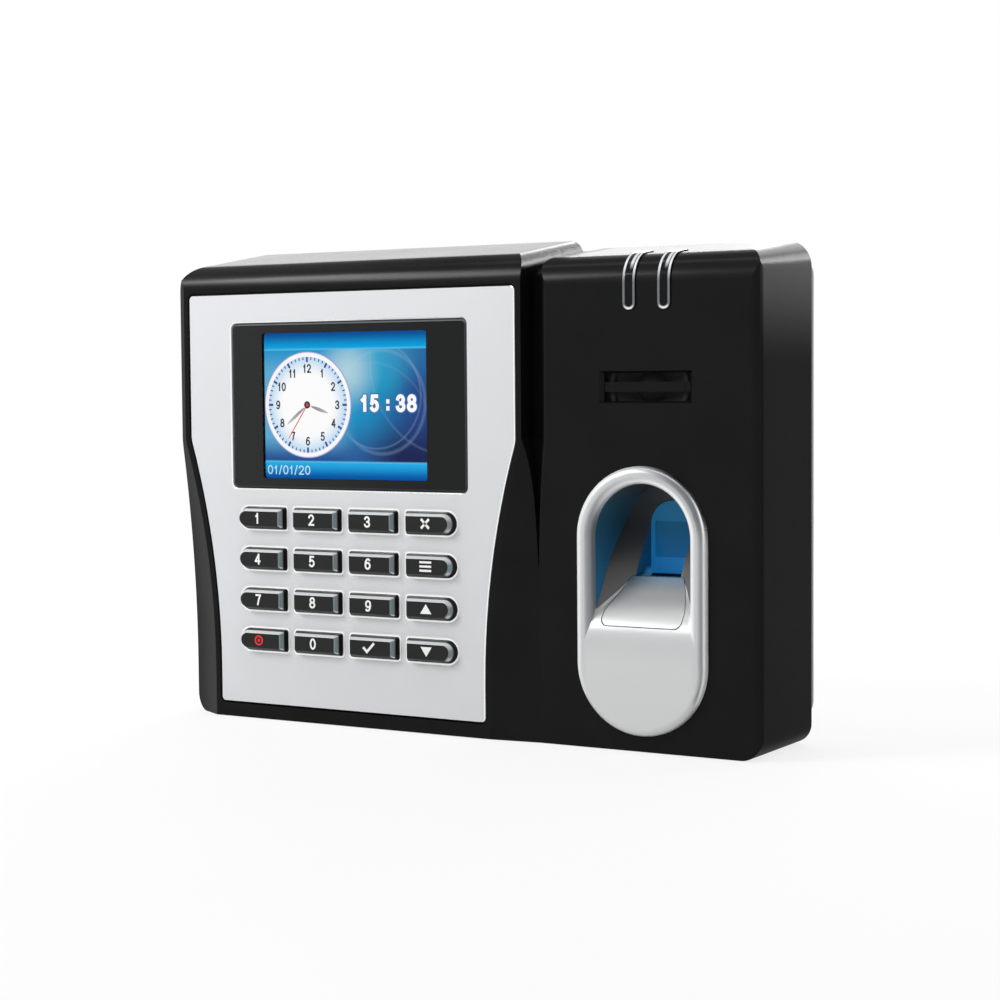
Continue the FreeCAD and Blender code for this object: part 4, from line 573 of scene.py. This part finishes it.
def guideBar():
    f = Finish("light guide", Roughness=0.12, Specular_IOR_Level=0.12)
    x, y, z = f.around()
    first, second = [x - middle(name)[0] for name in ("light_guide_left", "light_guide_right")]
    nearFirst = abs(first).ease(4.0, 3.9)
    across = first * nearFirst + second * (1.0 - nearFirst)
    drop = (z - (bars["low"] + bars["half"])).atMost(0.0)
    off = distance(across, drop)
    rim = off.ease(*bars["rimIn"]) * off.ease(*bars["rimOut"])
    streak = abs(across - bars["streakAt"]).ease(*bars["streakReach"])
    streak = streak * z.ease(*bars["streakRise"]) * 0.85
    soft = f.noise(3.0)
    tip = z.ease(bars["low"] + 1.6, bars["low"] + 0.4)
    high = z.ease(*bars["brightRise"]).atLeast(tip)
    outline = f.mix(high, shade(bars["outline"]), shade(bars["bright"]))
    ground = f.mix(rim * (soft * 0.3 + 0.8), shade(bars["core"]), outline)
    f.set("Base Color", f.mix(streak, ground, shade(bars["bright"])))
    f.bump(f.noise(0.8), 0.01, 0.3)
    return f


dress(guideBar(), "light_guide_left", "light_guide_right")
dress(plainPlastic("lamp lens", "#cdd6cd", rough=0.2), "indicator_leds")
print("carried pieces are dressed")

screen = {"place": middle("lcd_glass"), "front": frontOf("lcd_glass"), "width": 58.3, "height": 43.2,
          "corner": 1.0, "shift": 0.65, "bar": 16.4}

# smoked window: clear over the picture, black print behind its border, a little lighter at the left,
# and a painted highlight on the bevel round it, palest where it faces up; across and printEdge are in
# millimetres, from the picture's middle and from its outline
lens = {"left": "#242525", "right": "#181919", "across": (-36.0, 44.0), "bevel": "#6d7073",
        "clear": 0.04, "printEdge": (-0.15, 0.05)}


def lensFinish():
    f = Finish("window", Roughness=0.08, Specular_IOR_Level=0.12)
    x, y, z = f.around(screen["place"])
    right, back, up = f.facing()
    corner = screen["corner"]
    across = (abs(x - screen["shift"]) - (screen["width"] / 2 - corner)).atLeast(0.0)
    rise = (abs(z) - (screen["height"] / 2 - corner)).atLeast(0.0)
    edge = distance(across, rise) - corner
    # painted highlight on the bevel, palest where it faces up
    bevel = back.ease(-0.95, -0.84) * (up.ease(-0.2, 0.5) * 0.8 + 0.2)
    dark = f.mix(x.ease(*lens["across"]), shade(lens["left"]), shade(lens["right"]))
    f.set("Base Color", f.mix(bevel, dark, shade(lens["bevel"])))
    f.set("Alpha", edge.ease(*lens["printEdge"]) * (1.0 - lens["clear"]) + lens["clear"])
    return f


dress(lensFinish(), "display_lens")

# the lit picture, in millimetres from its middle: glowing blues that deepen to the right and
# downwards, two soft glows, faint arcs, and a title bar at the top and at the bottom
picture = {
    # from, to, and the colours there, left to right; the upper and lower rows fade in over a height
    "middle": (2.0, 26.0, "#1d98cc", "#2b4a8c"),
    "upper": (8.0, 30.0, "#46a9d2", "#2c6aa6"), "upperRise": (2.0, 15.0),
    "lower": (2.0, 20.0, "#2f62a0", "#222a58"), "lowerRise": (-1.0, -15.5),
    # the strip left of the clock, from its top down, and where it ends
    "left": ("#2a99d0", "#62b0da", "#2a5598"), "leftRise": ((17.0, 9.0), (-8.0, -16.5)),
    "leftEnd": (-6.0, 5.0),
    # x, z, reach, amount, colour
    "glows": ((12.0, 8.0, 13.0, 0.65, "#22a6cf"), (1.0, 9.8, 13.0, 0.95, "#b6d9e5")),
    # x, z, radius, width, amount
    "arcs": ((13.0, 1.0, 15.0, 0.9, 0.12), (11.0, 3.0, 15.5, 0.5, 0.12), (36.0, 13.0, 27.0, 0.6, 0.08),
             (9.0, -8.5, 21.0, 0.6, 0.05)),
    "arc": "#bfe4f5", "arcStart": (-3.0, 6.0),
    # colour at the inner and at the outer edge of each bar, and of the line beside it
    "upperBar": ("#10a8e6", "#0f4f98"),
    "lowerBar": ("#28b2ee", "#0556a6"), "barFade": 0.25,
    "line": "#6fd0f6", "lineAt": (0.25, -0.15), "lineFade": (0.45, 0.1), "lineAmount": 0.45,
}


def screenPicture():
    f = Finish("screen picture", Base_Color=(0.0, 0.0, 0.0), Roughness=0.3, Specular_IOR_Level=0.0,
               Emission_Strength=1.0)
    x, y, z = f.around(screen["place"])

    def across(name):
        start, stop, first, last = picture[name]
        return f.mix(x.ease(start, stop), shade(first), shade(last))

    left = shade(picture["left"][0])
    for rise, colour in zip(picture["leftRise"], picture["left"][1:]):
        left = f.mix(z.ease(*rise), left, shade(colour))
    ground = f.mix(z.ease(*picture["upperRise"]), across("middle"), across("upper"))
    ground = f.mix(z.ease(*picture["lowerRise"]), ground, across("lower"))
    ground = f.mix(x.ease(*picture["leftEnd"]), left, ground)
    for u, v, reach, amount, colour in picture["glows"]:
        near = distance(x - u, z - v).ease(reach, 0.0)
        ground = f.mix(near * amount, ground, shade(colour))
    for u, v, radius, width, amount in picture["arcs"]:
        arc = abs(distance(x - u, z - v) - radius).ease(width, 0.0)
        ground = f.mix(arc * amount * x.ease(*picture["arcStart"]), ground, shade(picture["arc"]))
    bar, end = screen["bar"], screen["height"] / 2
    for side, name in ((1, "upperBar"), (-1, "lowerBar")):
        inner, outer = [shade(colour) for colour in picture[name]]
        tone = f.mix(z.ease(side * bar, side * end), inner, outer)
        ground = f.mix(z.ease(side * bar, side * (bar + picture["barFade"])), ground, tone)
    upper, lower = [abs(z - place).ease(*picture["lineFade"])
                    for place in (bar + picture["lineAt"][0], -bar + picture["lineAt"][1])]
    ground = f.mix(upper.atLeast(lower) * picture["lineAmount"], ground, shade(picture["line"]))
    f.set("Emission Color", ground)
    return f


dress(screenPicture(), "lcd_glass")


# a closed thin plate between two loops of as many points: one parameter runs round the loops, the
# other over the front from the inner loop to the outer, down the side and back to the inner
def plate(outer, inner, front, depth):
    count = len(outer)
    rings = [(inner, front), (outer, front), (outer, front + depth), (inner, front + depth)]
    points = np.concatenate([np.column_stack((ring[:, 0], np.full(count, y), ring[:, 1]))
                             for ring, y in rings])
    rows = np.arange(4)[:, None] * count
    after = np.roll(rows, -1, axis=0)
    step = np.arange(count)[None, :]
    following = (step + 1) % count
    faces = np.stack((rows + step, after + step, after + following, rows + following), axis=-1)
    return points, faces.reshape(-1, 4)


# circle round (x, z): x plus r sine of the angle, z plus r cosine of it, clockwise from the top
def circle(x, z, radius, count=96):
    angle = np.linspace(0.0, 2 * np.pi, count, endpoint=False)
    return np.column_stack((x + radius * np.sin(angle), z + radius * np.cos(angle)))


def disc(x, z, radius, front, depth, hole=0.0, count=96):
    return plate(circle(x, z, radius, count), circle(x, z, hole, count), front, depth)


# flat band along a path: each point moved half the width to either side, along the mitred normal
def stroke(path, width, front, depth):
    path = np.array(path, dtype=float)
    along = np.diff(path, axis=0)
    along /= np.linalg.norm(along, axis=1)[:, None]
    first = np.vstack((along[:1], along))
    last = np.vstack((along, along[-1:]))
    tangent = first + last
    tangent /= np.linalg.norm(tangent, axis=1)[:, None]
    reach = width / 2 / np.sum(tangent * first, axis=1)
    side = np.column_stack((-tangent[:, 1], tangent[:, 0])) * reach[:, None]
    outer = np.vstack((path + side, (path - side)[::-1]))
    return plate(outer, np.vstack((path, path[::-1])), front, depth)


# clock hand: half its width times the sine of its phase, to a power, either side of its axis; the
# phase runs from just over 0 to just under pi, so that both ends stay blunt
def hand(x, z, degrees, start, end, width, front, depth, power=0.8):
    t = np.linspace(0.0, 1.0, 24)
    way = start + (end - start) * t
    phase = np.pi * (t * 0.92 + 0.06)
    half = width / 2 * np.sin(phase) ** power
    angle = math.radians(degrees)
    axis = np.column_stack((x + way * math.sin(angle), z + way * math.cos(angle)))
    side = np.column_stack((half * math.cos(angle), -half * math.sin(angle)))
    outer = np.vstack((axis + side, (axis - side)[::-1]))
    return plate(outer, np.vstack((axis, axis[::-1])), front, depth)


# joins plates into one piece, welds them and lets it ride on a body
def build(name, plates, finish, body="case"):
    starts = np.cumsum([0] + [len(points) for points, faces in plates[:-1]])
    points = np.concatenate([points for points, faces in plates]) * mm
    faces = np.concatenate([faces + start for (ignored, faces), start in zip(plates, starts)])
    mesh = bpy.data.meshes.new(name)
    mesh.from_pydata(points.tolist(), [], faces.tolist())
    work = bmesh.new()
    work.from_mesh(mesh)
    bmesh.ops.remove_doubles(work, verts=work.verts, dist=1e-7)
    bmesh.ops.dissolve_degenerate(work, edges=work.edges, dist=1e-7)
    bmesh.ops.recalc_face_normals(work, faces=work.faces)
    work.to_mesh(mesh)
    work.free()
    mesh.materials.append(finish.material)
    piece = bpy.data.objects.new(name, mesh)
    bpy.context.scene.collection.objects.link(piece)
    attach(piece, body)


# part of an ellipse: (u + a sine of the angle, v + b cosine of it), degrees clockwise from the top
def bow(u, v, a, b, start, stop, count=28):
    angle = np.radians(np.linspace(start, stop, count))
    return np.column_stack((u + a * np.sin(angle), v + b * np.cos(angle)))


# figures as open or closed lines in a box one wide and one high
figures = {
    "0": [bow(0.5, 0.5, 0.5, 0.5, 0, 360, 40)],
    "1": [[(0.62, 0.0), (0.62, 1.0)], [(0.62, 0.90), (0.12, 0.72)]],
    "2": [np.vstack((bow(0.48, 0.70, 0.48, 0.30, -78, 118), [(0.03, 0.0)])), [(0.03, 0.0), (1.0, 0.0)]],
    "3": [bow(0.46, 0.75, 0.44, 0.25, -78, 180), bow(0.47, 0.25, 0.50, 0.25, 0, 262)],
    "4": [[(0.74, 0.0), (0.74, 1.0)], [(0.74, 0.98), (0.0, 0.28)], [(0.04, 0.28), (1.0, 0.28)]],
    "5": [[(0.90, 1.0), (0.22, 1.0)], [(0.20, 1.0), (0.12, 0.50)],
          bow(0.48, 0.31, 0.50, 0.31, -52, 238)],
    "6": [bow(0.5, 0.31, 0.48, 0.31, 0, 360, 36), bow(0.60, 0.40, 0.58, 0.60, -95, 34)],
    "7": [[(0.02, 1.0), (0.98, 1.0)], [(0.98, 1.0), (0.62, 0.52), (0.40, 0.0)]],
    "8": [bow(0.5, 0.76, 0.42, 0.24, 0, 360, 36), bow(0.5, 0.26, 0.50, 0.26, 0, 360, 36)],
    ":": [[(0.5, 0.10), (0.5, 0.18)], [(0.5, 0.59), (0.5, 0.67)]],
    "/": [[(0.0, -0.05), (1.0, 1.05)]],
}
figures["9"] = [1.0 - np.array(line) for line in figures["6"]]

# overrun: how far an open line goes on past its ends, in line weights; stagger: how far each line
# stands before the last, so that no two faces lie in one plane; narrow: shares of the usual width
lettering = {"overrun": 0.42, "stagger": 0.002, "narrow": {"1": 0.72, "/": 0.62, ":": 0.4}}


# a row of figures: each (character, middle, width) along u, all of one height and line weight
def writeRow(row, place, high, weight, front, depth):
    plates = []
    for character, u, wide in row:
        for line in figures[character]:
            line = np.array(line, dtype=float) - 0.5
            line = line * (wide - weight, high - weight) + (place[0] + u, place[1])
            isOpen = np.hypot(*(line[0] - line[-1])) > 1e-6
            if isOpen:
                ends = [line[1] - line[0], line[-2] - line[-1]]
                ends = [end / np.hypot(*end) * weight * lettering["overrun"] for end in ends]
                line = np.vstack((line[0] - ends[0], line[1:-1], line[-1] - ends[1]))
            plates.append(stroke(line, weight, front - lettering["stagger"] * len(plates), depth))
    return plates


# evenly spaced row about the middle, from a text, the usual width and a gap
def evenRow(text, wide, gap=0.0):
    widths = [wide * lettering["narrow"].get(character, 1.0) for character in text]
    starts = np.cumsum([0.0] + [w + gap for w in widths])
    middles = starts[:-1] + np.array(widths) / 2 - (starts[-1] - gap) / 2
    return list(zip(text, middles, widths))


# a lit area of the picture; given far, it turns from colour to far over the reach from a centre
def lit(name, colour, far=None, centre=(0.0, 0.0), reach=(1.0, 2.0)):
    f = Finish(name, Base_Color=(0.0, 0.0, 0.0), Roughness=0.35, Emission_Strength=1.0)
    if far:
        x, y, z = f.around(centre)
        f.set("Emission Color", f.mix(distance(x, z).ease(*reach), shade(colour), shade(far)))
    else:
        f.set("Emission Color", f.mix(f.noise(2.0, 1.0), shade(colour, 0.97), shade(colour)))
    return f


# what the screen shows is made of sheets; each dictionary says how far they stand before the glass
sheet = 0.03


def show(name, plates, finish):
    build(name, plates, finish)


# analogue clock; lengths from its centre, angles clockwise from the top
clock = {"x": screen["place"][0] - 13.4, "z": screen["place"][1] + 0.25, "rim": 15.75, "face": 14.2,
         "numerals": 10.75, "figure": (1.55, 2.65, 0.45), "gap": 0.28,
         # angle, start, end, width
         "hour": (108.0, 1.4, 7.8, 1.05), "minute": (232.0, 1.4, 9.4, 0.95),
         "second": (214.7, -1.0, 12.2, 0.34),
         # length and width of the long and the short ticks
         "major": (1.55, 0.66), "minor": (0.85, 0.34), "tickInset": 0.05, "hub": 1.1, "dot": 0.5,
         "before": {"rim": 0.06, "face": 0.06, "numerals": 0.08, "ticks": 0.1, "hands": 0.16,
                    "second": 0.21, "hub": 0.26},
         # colour, or the inner and the outer one and where they turn
         "rimColour": ("#fbfaff", "#8684c0", (15.2, 15.75)), "tickColour": "#1f2c80",
         "faceColour": ("#ffffff", "#b5d8f4", (8.5, 15.2)), "numeralColour": "#0f0d0c",
         "handColour": ("#8d9093", "#b5b7b9", (2.0, 9.0)), "secondColour": "#e5433d",
         "hubColour": "#120c0c", "dotColour": "#e0182a"}


def buildClock():
    x, z = clock["x"], clock["z"]
    at = {name: screen["front"] - before for name, before in clock["before"].items()}
    radius = clock["face"]

    def turning(name, key):
        inner, outer, reach = clock[key]
        return lit(name, inner, outer, (x, z), reach)

    show("clock_rim", [disc(x, z, clock["rim"], at["rim"], sheet, radius)],
         turning("clock rim", "rimColour"))
    show("clock_face", [disc(x, z, radius, at["face"], sheet)], turning("clock face", "faceColour"))
    ticks = []
    for minute in range(60):
        angle = math.radians(6.0 * minute)
        length, width = clock["major" if minute % 5 == 0 else "minor"]
        outer = radius - clock["tickInset"]
        ends = [(x + r * math.sin(angle), z + r * math.cos(angle)) for r in (outer - length, outer)]
        ticks.append(stroke(ends, width, at["ticks"], sheet))
    show("clock_ticks", ticks, lit("tick blue", clock["tickColour"]))
    ink = lit("numeral ink", clock["numeralColour"])
    wide, high, weight = clock["figure"]
    for hour in range(1, 13):
        angle = math.radians(30.0 * hour)
        place = (x + clock["numerals"] * math.sin(angle), z + clock["numerals"] * math.cos(angle))
        row = evenRow(str(hour), wide, clock["gap"])
        show("numeral_%d" % hour, writeRow(row, place, high, weight, at["numerals"], sheet), ink)
    hands = [hand(x, z, *clock[name], at["hands"], sheet) for name in ("hour", "minute")]
    show("clock_hands", hands, turning("hand grey", "handColour"))
    show("second_hand", [hand(x, z, *clock["second"], at["second"], sheet, 0.15)],
         lit("hand red", clock["secondColour"]))
    show("clock_hub", [disc(x, z, clock["hub"], at["hub"], sheet, clock["dot"], 32)],
         lit("hub black", clock["hubColour"]))
    show("hub_dot", [disc(x, z, clock["dot"], at["hub"], sheet, 0.0, 24)],
         lit("hub red", clock["dotColour"]))


# digital time beside it, hours and minutes set apart, with a darker edge, and the date below;
# places count from the middle of the picture
digits = {"time": [("1", 6.9, 2.9), ("5", 10.5, 3.3), (":", 15.2, 1.9), ("3", 19.7, 3.3),
                   ("8", 23.5, 3.4)],
          "timeRise": 0.7, "timeHigh": 5.2, "timeWeight": 1.12, "edge": 0.7,
          "date": "01/01/20", "datePlace": (-20.5, -19.1), "dateSize": (1.9, 2.7, 0.34),
          "dateGap": 0.42, "before": {"edge": 0.04, "time": 0.12, "date": 0.06},
          "edgeColour": "#1d5fa8", "timeColour": "#ffffff", "dateColour": "#c4e8fb"}


def buildDigits():
    x, z = screen["place"]
    at = {name: screen["front"] - before for name, before in digits["before"].items()}
    place = (x, z + digits["timeRise"])
    high, weight, edge = digits["timeHigh"], digits["timeWeight"], digits["edge"]
    wider = [(character, u, wide + edge) for character, u, wide in digits["time"]]
    show("time_edge", writeRow(wider, place, high + edge, weight + edge, at["edge"], sheet),
         lit("time edge", digits["edgeColour"]))
    show("time_digits", writeRow(digits["time"], place, high, weight, at["time"], sheet),
         lit("time white", digits["timeColour"]))
    u, v = digits["datePlace"]
    wide, high, weight = digits["dateSize"]
    row = evenRow(digits["date"], wide, digits["dateGap"])
    show("date_digits", writeRow(row, (x + u, z + v), high, weight, at["date"], sheet),
         lit("date blue", digits["dateColour"]))


buildClock()
buildDigits()
print("screen picture is lit")

# white ink on the key faces, each legend riding on its own key; places count from the legend's
# middle, which is shifted from the key's. The ink stands proud of the key's face and ends a little
# short of it
legends = {"shift": -0.5, "proud": 0.05, "short": 0.012,
           "high": 3.35, "wide": 2.15, "weight": 0.56,  # figures
           "arrow": [(0.0, 1.45), (1.9, -1.35), (-1.9, -1.35)],
           "cross": [[(-1.35, -1.35), (1.35, 1.35)], [(-1.35, 1.35), (1.35, -1.35)]],
           "tick": [[(-1.9, 0.1), (-0.6, -1.2), (1.9, 1.4)]], "line": 0.75,
           "rungs": [[(-2.0, rise), (2.0, rise)] for rise in (-1.2, 0.0, 1.2)], "rung": 0.62,
           "ring": (1.55, 1.0), "dot": 0.5, "white": "#f1f2f2", "red": "#d8141c"}


def legendPlates(mark, x, z, front, depth):
    def strokes(paths, width):
        return [stroke(np.array(path) + (x, z), width, front, depth) for path in paths]

    if mark.isdigit():
        row = evenRow(mark, legends["wide"])
        return writeRow(row, (x, z), legends["high"], legends["weight"], front, depth)
    if mark in ("up", "down"):
        way = 1.0 if mark == "up" else -1.0
        outer = np.array(legends["arrow"]) * way + (x, z)
        return [plate(outer, np.tile((x, z), (len(outer), 1)), front, depth)]
    if mark == "cancel":
        return strokes(legends["cross"], legends["line"])
    if mark == "menu":
        return strokes(legends["rungs"], legends["rung"])
    if mark == "confirm":
        return strokes(legends["tick"], legends["line"])
    outer, inner = legends["ring"]
    dot = disc(x, z, legends["dot"], front, depth, 0.0, 24)
    return [disc(x, z, outer, front, depth, inner, 48), dot]


def buildLegends():
    ink = plainPlastic("legend ink", legends["white"], rough=0.5, grain=0.004)
    red = plainPlastic("power red", legends["red"], rough=0.45, grain=0.004)
    front = keyFront - legends["proud"]
    depth = legends["proud"] - legends["short"]
    for key in keyNames:
        mark = key[4:]
        x, z = middle(key)
        plates = legendPlates(mark, x + legends["shift"], z, front, depth)
        build("legend_" + mark, plates, red if mark == "power" else ink, key)


buildLegends()

# white rings standing proud round the key holes, a painted highlight of the holes' edges; the outer
# ends of the outer columns are round
beads = {"width": 17.5, "height": 7.05, "corner": 0.9, "inside": 0.16, "outside": 0.34, "proud": 0.07,
         "short": 0.005, "straight": 0.01, "face": frontOf("control_panel")}


# rounded outline clockwise from the top left, its left and right corners of different radii
def roundedLoop(x, z, width, height, left, right, count=14):
    turn = np.linspace(0.0, np.pi / 2, count)
    corners = ((-1, 1, left, 1.5), (1, 1, right, 0.0), (1, -1, right, 0.5), (-1, -1, left, 1.0))
    parts = []
    for sideX, sideZ, radius, quarter in corners:
        angle = turn + quarter * np.pi
        parts.append(np.column_stack((x + sideX * (width / 2 - radius) + radius * np.sin(angle),
                                      z + sideZ * (height / 2 - radius) + radius * np.cos(angle))))
    return np.vstack(parts)


def buildBeads():
    finish = silverLacquer("bead lacquer", "#ffffff", rough=0.2, metal=0.6, depth=0.002)
    places = [middle(name) for name in keyNames]
    first, last = min(places)[0] + 1.0, max(places)[0] - 1.0  # just inside the outer columns
    plates = []
    for x, z in places:
        loops = []
        for grow in (beads["outside"], -beads["inside"]):
            width, height = beads["width"] + 2 * grow, beads["height"] + 2 * grow
            corner, full = beads["corner"] + grow, height / 2 - beads["straight"]
            loops.append(roundedLoop(x, z, width, height, full if x < first else corner,
                                     full if x > last else corner))
        plates.append(plate(*loops, beads["face"] - beads["proud"], beads["proud"] - beads["short"]))
    build("key_beads", plates, finish)


buildBeads()
print("key legends and beads are in place")
